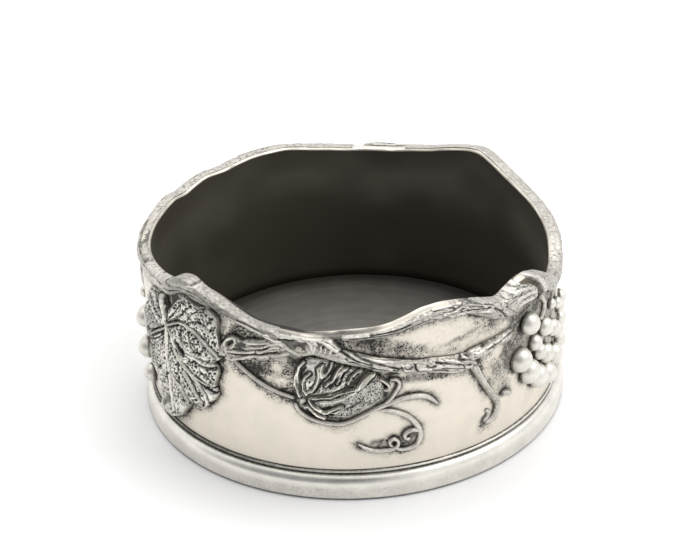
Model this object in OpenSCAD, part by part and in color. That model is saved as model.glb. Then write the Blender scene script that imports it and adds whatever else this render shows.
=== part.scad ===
// Wine bottle coaster with a grapevine round the wall.
// A wall band with a waved rim stands in a moulded foot ring, on a floor disc and a felt pad.
// The vine, leaves, tendrils and grapes are applied castings, each shaped to the round of the wall.
// Places on the wall are a turn in degrees to the right of the front and a height above the table.

/* [Wall] */
// Outer diameter of the wall band
wall_d = 118; // [96:1:150]
// Thickness of the wall band
wall_t = 3; // [2:0.1:4]
// Height of the rim where it runs level
rim_h = 50; // [44:0.5:64]
// How far the rim swings above and below that height
rim_wave = 8; // [0:0.5:9]

/* [Foot ring] */
// How far the foot ring stands out from the wall
ring_out = 2.5; // [2:0.1:5]
// Height of the foot ring with its bead
ring_h = 8; // [6:0.1:10]
// Height of the bead along the top of the ring
bead_h = 1.2; // [0.8:0.1:1.6]
// Radius of the shoulder between the face of the ring and its slope
shoulder_r = 1.2; // [0.6:0.1:1.8]
// Break along the lower edge of the ring
edge_break = 0.5; // [0.2:0.1:1]
// Width of the ledge inside the wall that carries the floor
ledge_w = 4; // [2:0.5:8]

/* [Floor] */
// Thickness of the floor disc
floor_t = 1.2; // [0.8:0.1:2]
// Thickness of the felt pad
pad_t = 2.4; // [1.5:0.1:3]
// How far the pad stands below the foot ring
pad_stand = 0.4; // [0:0.1:0.8]
// Gap between the pad and the foot ring
pad_gap = 0.3; // [0.1:0.1:0.8]

/* [Vine] */
// Width of the vine at its middle size
vine_w = 4; // [3:0.1:5]
// How far the vine stands off the wall
vine_proud = 2; // [1:0.1:2.6]
// Width of a twig
twig_w = 2.4; // [1.6:0.1:3]
// How far a twig stands off the wall
twig_proud = 1.5; // [0.8:0.1:2]
// Width of a tendril
tendril_w = 1.3; // [0.9:0.1:1.6]
// How far a tendril stands off the wall
tendril_proud = 0.9; // [0.6:0.1:1.4]

/* [Leaves] */
// Reach of a large leaf from its stalk to its longest lobe
leaf_reach = 31; // [26:0.5:34]
// How far a large leaf stands off the wall
leaf_proud = 3; // [1.5:0.1:3.4]
// Reach of a small curled leaf
small_leaf_reach = 12.5; // [10:0.5:14]
// How far a small leaf stands off the wall
small_leaf_proud = 2; // [1:0.1:2.6]

/* [Grapes] */
// Diameter of a full grape
grape_d = 7; // [5:0.1:7.2]
// How far the middle of a grape stands off the wall
grape_off = 0.4; // [0.1:0.1:0.8]

/* [Hidden] */

// Radii and heights that the sizes above give
wall_r = wall_d / 2;
well_r = wall_r - wall_t;
ring_r = wall_r + ring_out;
bore_r = well_r - ledge_w;
ring_z = pad_stand;
seat_z = pad_t;
ring_top = ring_z + ring_h;
// Extra length that a cut or a block gets past the piece
overrun = 1;
// Gap between two castings that lie side by side, and behind a casting for its solder
fit_gap = 0.2;
solder_gap = 0.1;
// Facets round the wall and round a grape, and degrees between places along the rim
round_fn = 360;
grape_fn = 60;
rim_step_angle = 3;
// Length along the wall for one degree of turn
deg_len = wall_r * PI / 180;
// The design comes twice: the back has it half a turn further round
half_turn = 180;
quarter_turn = 90;

pewter = "#cfcabd";
dark_pewter = "#a8a498";
felt = "#2f3a33";

// Rim: turn to the right, and swing as a share of rim_wave
rim_wave_shares = [
    [-180, -0.12], [-170, 0], [-160, 0.2], [-148, 0.17], [-138, 0], [-130, 0.07],
    [-120, -0.12], [-114, 0], [-105, -0.06], [-90, -0.06], [-80, 0.06], [-66, 0.25],
    [-60, 0.31], [-54, 0.44], [-49.5, 0.8], [-47, 0.96], [-44.5, 0.98], [-41.5, 0.76],
    [-37, 0.61], [-30.5, 0.25], [-27, 0.06], [-23.5, -0.03], [-17, -0.11], [-13.5, -0.19],
    [-7.5, -0.2], [-1, -0.09], [5, -0.06], [8, 0], [11, 0.1], [14.5, 0.18],
    [17.5, 0.31], [23, 0.33], [28, 0.3], [32.5, 0.23], [36, 0.1], [40, -0.05],
    [44, 0.13], [46, 0.25], [50, 0.31], [52, 0.25], [57, 0.04], [60.5, -0.2],
    [68, -0.85], [74, -1], [80, -0.98], [88, -0.69], [94, -0.56], [104, -0.42],
    [115, -0.25], [122, -0.06], [128, 0.2], [134, 0.5], [138, 0.48], [145, 0.3],
    [153, 0.06], [165, -0.12], [180, -0.12]];

// Vine along the rim: turn, half width as a share of half of vine_w, stand-off as a share of vine_proud
rim_vine_shares = [
    [-188, 0.5, 0.45], [-180, 0.8, 0.7], [-170, 1, 0.8], [-150, 1.1, 0.9], [-135, 1, 0.75],
    [-120, 1.05, 0.9], [-100, 1.1, 1], [-80, 1, 0.8], [-60, 1, 0.85], [-45, 1.1, 1],
    [-38, 0.9, 0.8], [-30, 0.7, 0.7], [-22, 0.65, 0.7], [-16, 0.8, 0.85], [-8, 0.4, 0.4],
    [0, 0.6, 0.6], [10, 0.7, 0.7], [20, 0.8, 0.8], [30, 0.8, 0.8], [37, 1.2, 1],
    [43, 1.7, 1.25], [50, 1.8, 1.2], [57, 1.4, 1], [63, 1.1, 0.8], [75, 1, 0.8],
    [100, 1.1, 1], [120, 1, 0.8], [135, 1.1, 1], [142, 0.9, 0.8], [150, 0.7, 0.7],
    [158, 0.65, 0.7], [164, 0.8, 0.85]];

// Paths: turn, height as a share of rim_h, then half width and stand-off as shares of their strand
cross_vine_shares = [
    [-12, 0.945, 1, 0.9], [-8, 0.917, 1.1, 1], [-4, 0.885, 1.15, 1], [0, 0.861, 1.15, 1],
    [5, 0.83, 1.1, 1], [10, 0.804, 1.05, 0.95], [15, 0.777, 1, 0.95], [20, 0.755, 1, 1],
    [25, 0.734, 1.1, 1.1], [31, 0.72, 1.25, 1.15]];
knot_lip_shares = [
    [-21.8, 0.912, 0.3, 0.5], [-19, 0.9, 0.45, 0.8], [-16.2, 0.882, 0.45, 0.9],
    [-13.4, 0.874, 0.5, 0.9], [-10.6, 0.886, 0.5, 0.8]];
upper_twig_shares = [
    [31.6, 0.752, 1, 1.1], [34.5, 0.757, 0.95, 1], [38, 0.768, 0.9, 0.9], [42, 0.768, 0.5, 0.5]];
lower_twig_shares = [
    [33, 0.67, 1, 1.1], [34.5, 0.61, 0.9, 1], [36.1, 0.54, 0.8, 0.9], [37.7, 0.47, 0.75, 0.9],
    [38.9, 0.41, 0.8, 1], [39.1, 0.35, 0.75, 0.9], [37.8, 0.31, 0.65, 0.8], [35.6, 0.3, 0.4, 0.5]];
inner_curl_shares = [
    [33.2, 0.45, 0.4, 0.5], [34.6, 0.42, 0.5, 0.6], [35.3, 0.38, 0.5, 0.6], [34.9, 0.345, 0.4, 0.5]];
bud_shares = [
    [40.7, 0.42, 0.45, 0.6], [42, 0.415, 0.75, 1], [43.4, 0.408, 0.7, 0.9], [44.4, 0.404, 0.3, 0.4]];
// Stems: turn, and how far up from what hangs on them to the vine
leaf_stem_shares = [
    [-57.6, 1, 1, 1.1], [-56.2, 0.77, 1, 1.2], [-55.5, 0.4, 0.9, 1.2], [-55.7, 0.06, 0.8, 1.2]];
grape_stem_shares = [
    [57.2, 1, 0.9, 1], [58.9, 0.75, 1, 1.1], [60.2, 0.52, 0.9, 1], [59.6, 0.25, 0.75, 0.9],
    [57.8, 0.04, 0.6, 0.8]];
// Branch and stalk between the leaves: share of the way from the large leaf, and height
side_branch_shares = [
    [0.03, 0.82, 0.5, 0.5], [0.12, 0.824, 0.95, 1], [0.24, 0.826, 1.1, 1.15], [0.42, 0.818, 0.9, 0.95],
    [0.65, 0.836, 0.75, 0.85], [0.85, 0.85, 0.6, 0.8], [1, 0.856, 0.45, 0.6]];
leaf_stalk_shares = [
    [0.19, 0.768, 1, 1], [0.36, 0.715, 1.1, 1.1], [0.56, 0.665, 1.1, 1.1], [0.76, 0.63, 1, 1],
    [1, 0.605, 1, 1]];
// Tendrils: place right of and above the stalk of a small leaf, as shares of the leaf's reach
main_tendril_shares = [
    [-0.96, -0.31, 0.8, 0.8], [-0.9, -0.47, 0.9, 0.9], [-0.71, -0.63, 1, 1], [-0.4, -0.74, 1, 1],
    [-0.07, -0.8, 1, 1], [0.26, -0.72, 1, 1], [0.58, -0.57, 1, 1], [0.87, -0.41, 1.1, 1.1],
    [1.2, -0.29, 1, 1], [1.49, -0.28, 0.9, 0.9], [1.75, -0.36, 1, 0.8], [1.91, -0.51, 0.5, 0.5]];
hanging_tendril_shares = [
    [0.91, -0.48, 0.7, 0.8], [1.16, -0.51, 0.8, 0.9], [1.38, -0.69, 0.9, 1], [1.57, -0.93, 1, 1],
    [1.63, -1.17, 1, 1], [1.57, -1.37, 1, 1], [1.38, -1.47, 1, 1], [1.19, -1.48, 0.7, 0.8]];
lower_curl_shares = [
    [1.55, -1.02, 0.6, 0.8], [1.4, -1.04, 0.8, 0.9], [1.29, -1.13, 0.7, 0.8],
    [1.3, -1.22, 0.5, 0.6]];
trailing_curl_shares = [
    [0.35, -1.27, 0.4, 0.4], [0.51, -1.39, 0.8, 0.8], [0.75, -1.46, 1, 1], [1, -1.45, 1, 1],
    [1.11, -1.34, 0.9, 1], [1.06, -1.22, 0.8, 0.9], [0.97, -1.2, 0.6, 0.8]];
climbing_tendril_shares = [
    [1.02, -0.31, 0.7, 0.8], [1.14, -0.11, 0.8, 0.9], [1.2, 0.11, 0.8, 0.8],
    [1.12, 0.23, 0.5, 0.5]];

// Leaf outlines: direction from the stalk in degrees, and reach as a share of the leaf's own
large_outline_shares = [
    [-180, 0.46], [-168, 0.58], [-160, 0.7], [-150, 0.62], [-143, 0.52], [-135, 0.68], [-125, 0.6],
    [-115, 0.52], [-108, 0.7], [-102, 0.96], [-96, 1], [-88, 0.94], [-80, 0.87], [-73, 0.82],
    [-66, 0.76], [-58, 0.72], [-51, 0.86], [-42, 0.82], [-34, 0.76], [-25, 0.68], [-19, 0.53],
    [-13, 0.6], [-8, 0.7], [-1, 0.64], [9, 0.69], [18, 0.64], [22, 0.74], [33, 0.68], [46, 0.55],
    [58, 0.3], [68, 0.16], [80, 0.09], [100, 0.09], [110, 0.3], [122, 0.36], [138, 0.3], [160, 0.34],
    [180, 0.46]];
small_outline_shares = [
    [-180, 0.84], [-165, 0.86], [-150, 0.82], [-130, 0.72], [-110, 0.66], [-90, 0.64], [-70, 0.63],
    [-50, 0.64], [-35, 0.7], [-20, 0.85], [-5, 1], [8, 1.02], [22, 0.98], [40, 0.8], [60, 0.72],
    [80, 0.76], [100, 0.86], [120, 1], [135, 1.02], [150, 0.94], [165, 0.86], [180, 0.84]];
// Veins of a leaf: direction in degrees, and height as a share of what the leaf stands off
large_vein_shares = [[-180, 0.1], [-160, 1], [-140, 0], [-96, 1], [-75, 0], [-45, 1], [-22, 0], [0, 0.4],
    [24, 1], [60, 0], [110, 0.6], [180, 0.1]];
small_vein_shares = [[-180, 1], [-150, 0], [-90, 0.8], [-40, 0], [8, 1], [50, 0], [100, 0.9],
    [140, 0.1], [180, 1]];
// Height of a leaf at its stalk, its ground and its edge, as shares of what it stands off
leaf_middle_share = 0.85;
leaf_vein_share = 0.25;
leaf_edge_share = 0.5;
// Places of the leaves: turn, and height as a share of rim_h
large_leaf_share = [-55.8, 0.81];
small_leaf_share = [-3.6, 0.652];
// A back leaf is this share of a front one, because the rim is lower there
back_leaf_share = 0.9;
// How far a large leaf reaches to its right and above its stalk, and a small one to its left
leaf_side_share = 0.68;
leaf_notch_share = 0.09;
leaf_node_share = 0.96;
branch_end_angle = -18;

// Grapes: turn, height as a share of rim_h, and size as a share of a full grape
right_grape_shares = [
    [50, 0.774, 0.92], [46.8, 0.594, 1.01], [50.8, 0.468, 1.03], [56.4, 0.374, 1], [62.9, 0.316, 0.94],
    [54.6, 0.604, 0.67], [57.2, 0.52, 0.7], [60.2, 0.644, 0.79], [61.6, 0.46, 0.83], [66.4, 0.568, 0.83],
    [69.2, 0.368, 0.88], [71.6, 0.664, 0.79], [72.2, 0.488, 0.85], [76.8, 0.584, 0.76],
    [76.6, 0.372, 0.76], [79.6, 0.476, 0.7], [65.4, 0.728, 0.7], [83, 0.572, 0.65]];
left_grape_shares = [
    [-84, 0.524, 0.86], [-82.6, 0.344, 0.94], [-75.6, 0.26, 0.79], [-89.6, 0.632, 0.91],
    [-90, 0.472, 0.91], [-89.2, 0.288, 0.88], [-95.8, 0.728, 0.85], [-96, 0.564, 0.94],
    [-95.6, 0.388, 0.94], [-95.4, 0.236, 0.7], [-102, 0.652, 0.91], [-102.2, 0.484, 0.94],
    [-101.6, 0.316, 0.85], [-101.8, 0.804, 0.73], [-108.2, 0.572, 0.85], [-108.2, 0.408, 0.82],
    [-108, 0.728, 0.76], [-113.8, 0.492, 0.73], [-113.6, 0.644, 0.73]];

// Point on the wall at a turn and a height, standing off it
function on_wall(turn, height, off) =
    [(wall_r + off) * sin(turn), -(wall_r + off) * cos(turn), height];

// Turn brought to between minus and plus half a turn
function wrapped(turn) = turn > half_turn ? turn - 2 * half_turn
    : turn < -half_turn ? turn + 2 * half_turn : turn;

// Height of the rim, eased over neighbouring places
function rim_share(turn) = lookup(wrapped(turn), rim_wave_shares);
function rim_z(turn) = rim_h + rim_wave
    * (rim_share(turn - rim_step_angle / 2) + 2 * rim_share(turn) + rim_share(turn + rim_step_angle / 2)) / 4;

// Half width and stand-off of the vine along the rim
function rim_vine_turn(turn) = turn > 164 ? turn - 2 * half_turn
    : turn < -188 ? turn + 2 * half_turn : turn;
function rim_vine_half(turn) = vine_w / 2
    * lookup(rim_vine_turn(turn), [for (row = rim_vine_shares) [row[0], row[1]]]);
function rim_vine_off(turn) = vine_proud
    * lookup(rim_vine_turn(turn), [for (row = rim_vine_shares) [row[0], row[2]]]);
function rim_vine_foot(turn) = rim_z(turn) - 2 * rim_vine_half(turn);

// Rows of a path along the rim: turn, height, half width and stand-off
function rim_path(from, to) = [for (turn = [from : rim_step_angle : to])
    [turn, rim_z(turn) - rim_vine_half(turn), rim_vine_half(turn), rim_vine_off(turn)]];

// Rows of a path from its table, at the size of its strand and moved round the wall
function strand_path(shares, width, proud, turn = 0) = [for (row = shares)
    [row[0] + turn, row[1] * rim_h, row[2] * width / 2, row[3] * proud]];

// Smooth curve through the rows of a path, with so many places on each stretch
function blend(a, b, c, d, t) = (2 * b + (c - a) * t + (2 * a - 5 * b + 4 * c - d) * t * t
    + (3 * b - a - 3 * c + d) * t * t * t) / 2;
function eased(path, places = 3) = let (last = len(path) - 1)
    concat([for (i = [0 : last - 1]) for (k = [0 : places - 1])
        blend(path[max(i - 1, 0)], path[i], path[i + 1], path[min(i + 2, last)], k / places)],
        [path[last]]);

// Direction across a path at one of its rows, in lengths on the wall
function across(path, i) =
    let (a = path[max(i - 1, 0)], b = path[min(i + 1, len(path) - 1)],
         run = (b[0] - a[0]) * deg_len, rise = b[1] - a[1], size = norm([run, rise]))
    [-rise / size, run / size];

// Domed section of a strand at one row of its path, with its flat side to the wall
dome_fn = 6;
section_points = dome_fn + 1;
function section(path, i) =
    let (row = path[i], side = across(path, i))
    [for (k = [0 : dome_fn])
        let (a = half_turn * k / dome_fn, w = row[2] * cos(a))
        on_wall(row[0] + side[0] * w / deg_len, row[1] + side[1] * w, solder_gap + row[3] * sin(a))];

// Solid strand along the rows of a path that lie between two of its places
module strand(path, first = 0, final = 0) {
    last = final > 0 ? final : len(path) - 1;
    count = last - first + 1;
    points = [for (i = [first : last]) each section(path, i)];
    skin = [for (i = [0 : count - 2]) for (k = [0 : section_points - 1])
        let (n = (k + 1) % section_points, a = i * section_points, b = a + section_points)
        each [[a + k, b + k, b + n], [a + k, b + n, a + n]]];
    caps = [for (k = [1 : section_points - 2])
        let (e = (count - 1) * section_points)
        each [[0, k, k + 1], [e, e + k + 1, e + k]]];
    polyhedron(points, concat(skin, caps), convexity = 6);
}

// Leaf seen from outside: rings round its stalk out to the outline, domed, with raised veins.
// The rings come back under it against the wall, so a ring past the last one is on the back.
leaf_fn = 60;
leaf_ring_fn = 5;
function leaf_point(place, reach, proud, outline, veins, ray, ring, foot, top) =
    let (direction = ray * 2 * half_turn / leaf_fn - half_turn,
         behind = ring > leaf_ring_fn,
         out = (behind ? 2 * leaf_ring_fn + 1 - ring : ring) / leaf_ring_fn,
         length = reach * lookup(direction, outline) * out,
         turn = place[0] + length * cos(direction) / deg_len,
         height = place[1] + length * sin(direction),
         swell = sin(half_turn * sqrt(out)),
         vein = leaf_vein_share * (lookup(direction, veins) - 1 / 2) * swell,
         ground = leaf_middle_share + (leaf_edge_share - leaf_middle_share) * out * out)
    on_wall(turn, min(max(height, foot), lookup(turn, top)),
        solder_gap + (behind ? 0 : proud * (ground + vein)));

module leaf(place, reach, proud, outline, veins, top) {
    n = leaf_fn;
    last = 2 * leaf_ring_fn + 1;
    foot = ring_top + fit_gap;
    rings = [for (ring = [1 : last - 1]) for (ray = [0 : n - 1])
        leaf_point(place, reach, proud, outline, veins, ray, ring, foot, top)];
    middles = [for (ring = [0, last]) leaf_point(place, reach, proud, outline, veins, 0, ring, foot, top)];
    front = len(rings);
    face = [for (k = [0 : n - 1]) [front, (k + 1) % n, k]];
    bands = [for (j = [0 : last - 3]) for (k = [0 : n - 1])
        let (q = (k + 1) % n, a = j * n, b = a + n)
        each [[a + k, a + q, b + q], [a + k, b + q, b + k]]];
    back = [for (k = [0 : n - 1]) [front + 1, front - n + k, front - n + (k + 1) % n]];
    polyhedron(concat(rings, middles), concat(face, bands, back), convexity = 8);
}

// Lower edge of the vine along the rim, and of the cross vine, as tables of turn and height
function under_rim(from, to) = [for (turn = [from : rim_step_angle : to])
    [turn, rim_vine_foot(turn) - fit_gap]];
function under_path(path) = [for (row = path) [row[0], row[1] - row[2] - fit_gap]];

// How much lower the rim vine runs where a large leaf hangs on the other side
function leaf_drop(turn) = rim_vine_foot(large_leaf_share[0]) - rim_vine_foot(large_leaf_share[0] + turn);

function large_leaf_place(turn) =
    [large_leaf_share[0] + turn, large_leaf_share[1] * rim_h - leaf_drop(turn)];
function small_leaf_place(turn) = [small_leaf_share[0] + turn, small_leaf_share[1] * rim_h];

module large_leaf(turn, size) {
    place = large_leaf_place(turn);
    leaf(place, leaf_reach * size, leaf_proud, large_outline_shares, large_vein_shares,
        under_rim(place[0] - 2 * leaf_reach / deg_len, place[0] + 2 * leaf_reach / deg_len));
}

module small_leaf(turn) {
    leaf(small_leaf_place(turn), small_leaf_reach, small_leaf_proud,
        small_outline_shares, small_vein_shares, under_path(cross_path(turn)));
}

// Long vine: along the rim, then down across the wall below the start of the other one
vine_from_angle = -183;
cross_from_angle = -16;
function cross_path(turn) = eased(strand_path(cross_vine_shares, vine_w, vine_proud, turn));
function long_path(turn) =
    concat(rim_path(turn + vine_from_angle, turn + cross_from_angle), cross_path(turn));
function rim_places(turn) = len(rim_path(turn + vine_from_angle, turn + cross_from_angle)) - 1;

module rim_vine(turn) {
    strand(long_path(turn), 0, rim_places(turn));
}

module cross_vine(turn) {
    strand(long_path(turn), rim_places(turn));
    strand(eased(strand_path(knot_lip_shares, vine_w, vine_proud, turn)));
}

// Path whose rows run from the side of the large leaf to a turn further right
function beside_leaf(shares, width, proud, turn, size, to) =
    let (from = large_leaf_place(turn)[0] + (leaf_reach * size * leaf_side_share + fit_gap) / deg_len)
    [for (row = strand_path(shares, width, proud)) [from + row[0] * (to - from), row[1], row[2], row[3]]];

// Path round the small leaf
function round_leaf(shares, turn) =
    let (place = small_leaf_place(turn))
    [for (row = shares)
        [place[0] + row[0] * small_leaf_reach / deg_len, place[1] + row[1] * small_leaf_reach,
         row[2] * tendril_w / 2, row[3] * tendril_proud]];

// Path of a stem from the vine along the rim down to what hangs on it
function hanging(shares, turn, low) =
    let (high = rim_vine_foot(shares[0][0] + turn) - twig_w / 2 - fit_gap)
    [for (row = shares)
        [row[0] + turn, low + row[1] * (high - low), row[2] * twig_w / 2, row[3] * twig_proud]];

module side_branch(turn, size) {
    strand(eased(beside_leaf(side_branch_shares, vine_w, vine_proud, turn, size, branch_end_angle + turn)));
}

module twig_fork(turn) {
    for (shares = [upper_twig_shares, lower_twig_shares, inner_curl_shares, bud_shares])
        strand(eased(strand_path(shares, twig_w, twig_proud, turn)));
}

module leaf_stem(turn, size) {
    low = large_leaf_place(turn)[1] + leaf_reach * size * leaf_notch_share + fit_gap;
    strand(eased(hanging(leaf_stem_shares, turn, low)));
}

module tendrils(turn, size) {
    node_turn = small_leaf_place(turn)[0] - small_leaf_reach * leaf_node_share / deg_len;
    strand(eased(beside_leaf(leaf_stalk_shares, tendril_w, tendril_proud, turn, size, node_turn)));
    for (shares = [main_tendril_shares, hanging_tendril_shares, lower_curl_shares,
                   trailing_curl_shares, climbing_tendril_shares])
        strand(eased(round_leaf(shares, turn)));
}

module grapes(shares) {
    for (row = shares)
        translate(on_wall(row[0], row[1] * rim_h, grape_off)) rotate([quarter_turn, 0, row[0]])
            rotate_extrude($fn = grape_fn) intersection() {
                circle(d = grape_d * row[2], $fn = grape_fn);
                translate([0, solder_gap - grape_off]) square(grape_d);
            }
}

module grape_stem(turn, grape) {
    low = grape[1] * rim_h + grape[2] * grape_d / 2 + fit_gap;
    strand(eased(hanging(grape_stem_shares, turn, low)));
}

// Quarter arc of a profile from one angle to another
function arc(middle, r, from, to, steps = 6) = [for (k = [0 : steps])
    let (a = from + (to - from) * k / steps) [middle[0] + r * cos(a), middle[1] + r * sin(a)]];

module felt_pad() color(felt) cylinder(r = bore_r - pad_gap, h = pad_t, $fn = round_fn);

module floor_disc() color(dark_pewter)
    translate([0, 0, seat_z]) cylinder(r = well_r, h = floor_t, $fn = round_fn);

// Foot ring: a face, a shoulder, a slope up to the wall and a bead, with a rebate for wall and floor
slope_angle = 35;
bead_angle = 75;
module foot_ring() color(pewter) {
    bead_r = bead_h / 2;
    bead_z = ring_top - bead_r;
    slope_top = bead_z - bead_r;
    shoulder_x = ring_r - shoulder_r;
    slope_run = shoulder_x + shoulder_r * sin(slope_angle) - wall_r;
    shoulder_z = slope_top - slope_run * tan(slope_angle) - shoulder_r * cos(slope_angle);
    rotate_extrude($fn = round_fn) polygon(concat(
        [[bore_r, ring_z], [ring_r - edge_break, ring_z], [ring_r, ring_z + edge_break]],
        arc([shoulder_x, shoulder_z], shoulder_r, 0, quarter_turn - slope_angle),
        [[wall_r + bead_r / 4, slope_top]],
        arc([wall_r + bead_r / 4, bead_z], bead_r, -bead_angle, quarter_turn),
        [[wall_r, ring_top], [wall_r, seat_z], [bore_r, seat_z]]));
}

// Block under the waved rim, wide enough to take the whole wall
module under_the_rim() {
    n = 2 * half_turn / rim_step_angle;
    inner = well_r / 2;
    outer = wall_r + overrun;
    points = [for (i = [0 : n - 1]) let (turn = i * rim_step_angle - half_turn)
        each [for (corner = [[inner, 0], [outer, 0], [outer, rim_z(turn)], [inner, rim_z(turn)]])
            [corner[0] * sin(turn), -corner[0] * cos(turn), corner[1]]]];
    skin = [for (i = [0 : n - 1]) for (k = [0 : 3])
        let (a = 4 * i, b = 4 * ((i + 1) % n), q = (k + 1) % 4)
        each [[a + k, a + q, b + q], [a + k, b + q, b + k]]];
    polyhedron(points, skin, convexity = 8);
}

module wall_band() color(pewter) difference() {
    intersection() {
        translate([0, 0, seat_z]) cylinder(r = wall_r, h = 2 * rim_h, $fn = round_fn);
        under_the_rim();
    }
    cylinder(r = well_r, h = 2 * (rim_h + rim_wave), $fn = round_fn);
}

module left_rim_vine() color(pewter) rim_vine(0);
module right_rim_vine() color(pewter) rim_vine(half_turn);
module front_cross_vine() color(pewter) cross_vine(0);
module back_cross_vine() color(pewter) cross_vine(half_turn);
module front_side_branch() color(pewter) side_branch(0, 1);
module back_side_branch() color(pewter) side_branch(half_turn, back_leaf_share);
module front_twig_fork() color(pewter) twig_fork(0);
module back_twig_fork() color(pewter) twig_fork(half_turn);
module left_large_leaf() color(dark_pewter) large_leaf(0, 1);
module back_large_leaf() color(dark_pewter) large_leaf(half_turn, back_leaf_share);
module left_leaf_stem() color(pewter) leaf_stem(0, 1);
module back_leaf_stem() color(pewter) leaf_stem(half_turn, back_leaf_share);
module front_small_leaf() color(dark_pewter) small_leaf(0);
module back_small_leaf() color(dark_pewter) small_leaf(half_turn);
module front_tendril() color(pewter) tendrils(0, 1);
module back_tendril() color(pewter) tendrils(half_turn, back_leaf_share);
module right_grape_cluster() color(pewter) grapes(right_grape_shares);
module left_grape_cluster() color(pewter) grapes(left_grape_shares);
module right_grape_stem() color(pewter) grape_stem(0, right_grape_shares[7]);
left_stem_angle = -148;
module left_grape_stem() color(pewter) grape_stem(left_stem_angle, left_grape_shares[3]);

felt_pad();
floor_disc();
foot_ring();
wall_band();
left_rim_vine();
right_rim_vine();
front_cross_vine();
back_cross_vine();
front_side_branch();
back_side_branch();
front_twig_fork();
back_twig_fork();
left_large_leaf();
back_large_leaf();
left_leaf_stem();
back_leaf_stem();
front_small_leaf();
back_small_leaf();
front_tendril();
back_tendril();
right_grape_cluster();
left_grape_cluster();
right_grape_stem();
left_grape_stem();
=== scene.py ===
# %% [markdown]
# # A wine bottle coaster in cast pewter
#
# The real object is a short, heavy ring of pewter. A wall band with a waved rim stands in a moulded foot ring,
# and a grapevine is cast round it: a vine that is also the rim, a branch that dives across the wall, leaves,
# tendrils and bunches of grapes. The metal was blackened all over and then wiped back, so every hollow stayed
# dark and every high place came up bright. That contrast is most of what the eye sees.
#
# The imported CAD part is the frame. Each visible piece below stands in the place of the node it replaces, with
# the same radii and the same paths, but with the bark, veins, pits and rounded edges that the casting shows.

# %% Load the frame
import math
import bpy
import numpy as np
from mathutils import Matrix, Vector


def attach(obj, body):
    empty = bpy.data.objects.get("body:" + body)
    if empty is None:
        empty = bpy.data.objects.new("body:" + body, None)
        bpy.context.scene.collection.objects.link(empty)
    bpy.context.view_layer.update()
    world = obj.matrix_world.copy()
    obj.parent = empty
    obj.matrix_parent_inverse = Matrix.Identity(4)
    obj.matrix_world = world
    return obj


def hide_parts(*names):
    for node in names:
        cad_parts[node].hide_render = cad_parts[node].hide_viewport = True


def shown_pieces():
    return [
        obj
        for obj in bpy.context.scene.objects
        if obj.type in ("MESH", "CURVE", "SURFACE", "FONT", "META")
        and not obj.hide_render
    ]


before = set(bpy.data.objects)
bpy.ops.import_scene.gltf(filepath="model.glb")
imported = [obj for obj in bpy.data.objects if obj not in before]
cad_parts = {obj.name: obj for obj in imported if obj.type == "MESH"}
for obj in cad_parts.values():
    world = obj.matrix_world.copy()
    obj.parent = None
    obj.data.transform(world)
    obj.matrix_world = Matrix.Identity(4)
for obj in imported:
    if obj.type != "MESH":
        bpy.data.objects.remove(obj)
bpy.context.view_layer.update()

# %% [markdown]
# ## Places on the wall
#
# The wall is a cylinder, so a place on it is a turn in degrees to the right of the front and a height above the
# table. A third number says how far a point stands off the wall. Working in these three numbers means that the
# relief can be drawn flat and then bent round the wall in one step. Lengths are in millimetres until the last
# moment, and MM turns them into Blender's metres.

# %% Wall places
MM = 0.001
WALL_R = 59.0
WELL_R = 56.0
DEG = WALL_R * math.pi / 180
SOLDER = 0.1


def on_wall(turn, height, off):
    """Point at radius WALL_R + off, at the turn from the front towards the right, at the height. In metres."""
    a = np.radians(turn)
    r = WALL_R + np.asarray(off, float)
    return np.stack([r * np.sin(a), -r * np.cos(a), height + 0 * r * a], -1) * MM


def wrapped(turn):
    """The same turn, brought to between -180 and 180 degrees."""
    return (np.asarray(turn, float) + 180) % 360 - 180


print("one degree of turn is", round(DEG, 3), "mm of wall")

# %% [markdown]
# ## Random but repeatable texture
#
# Hand-made metal is never even. Two kinds of noise cover all of it here. Smooth noise blends random values on
# a square lattice, and gives gentle swells. Cell noise scatters one point in each square and measures how far
# the nearest one is, which gives pits, and the seam between two cells gives the cracks of bark. Both are
# computed as whole arrays and start from a fixed seed, so each run makes the same coaster.

# %% Noise helpers
def soft_noise(x, y, size, seed, around=256):
    """Value from -1 to 1: random numbers at lattice corners, blended with the weight 3t^2 - 2t^3.
    The pattern repeats in x after so many squares."""
    table = np.random.default_rng(seed).uniform(-1, 1, (256, 256))
    u, v = np.asarray(x) / size, np.asarray(y) / size
    i, j = np.floor(u).astype(int), np.floor(v).astype(int)
    a, b = u - i, v - j
    a, b = a * a * (3 - 2 * a), b * b * (3 - 2 * b)
    value = lambda p, q: table[p % around, q % 256]
    return ((value(i, j) * (1 - a) + value(i + 1, j) * a) * (1 - b)
            + (value(i, j + 1) * (1 - a) + value(i + 1, j + 1) * a) * b)


def cell_noise(x, y, size, seed, around=256):
    """Distances to the nearest and the second nearest of the scattered points, and the nearest one's own number.
    Distances are in squares of the lattice."""
    px, py, own = np.random.default_rng(seed).uniform(0.08, 0.92, (3, 256, 256))
    u, v = np.asarray(x) / size, np.asarray(y) / size
    i, j = np.floor(u).astype(int), np.floor(v).astype(int)
    first, second, tone = np.full(u.shape, 9.0), np.full(u.shape, 9.0), np.zeros(u.shape)
    for di in (-1, 0, 1):
        for dj in (-1, 0, 1):
            a, b = (i + di) % around, (j + dj) % 256
            d = np.hypot(i + di + px[a, b] - u, j + dj + py[a, b] - v)
            near = d < first
            second = np.where(near, first, np.minimum(second, d))
            tone = np.where(near, own[a, b], tone)
            first = np.where(near, d, first)
    return first, second, tone


def ramp(low, high, value):
    """0 below low, 1 above high, and 3t^2 - 2t^3 between them. It falls instead where low is above high."""
    t = np.clip((value - low) / (high - low), 0, 1)
    return t * t * (3 - 2 * t)


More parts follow.
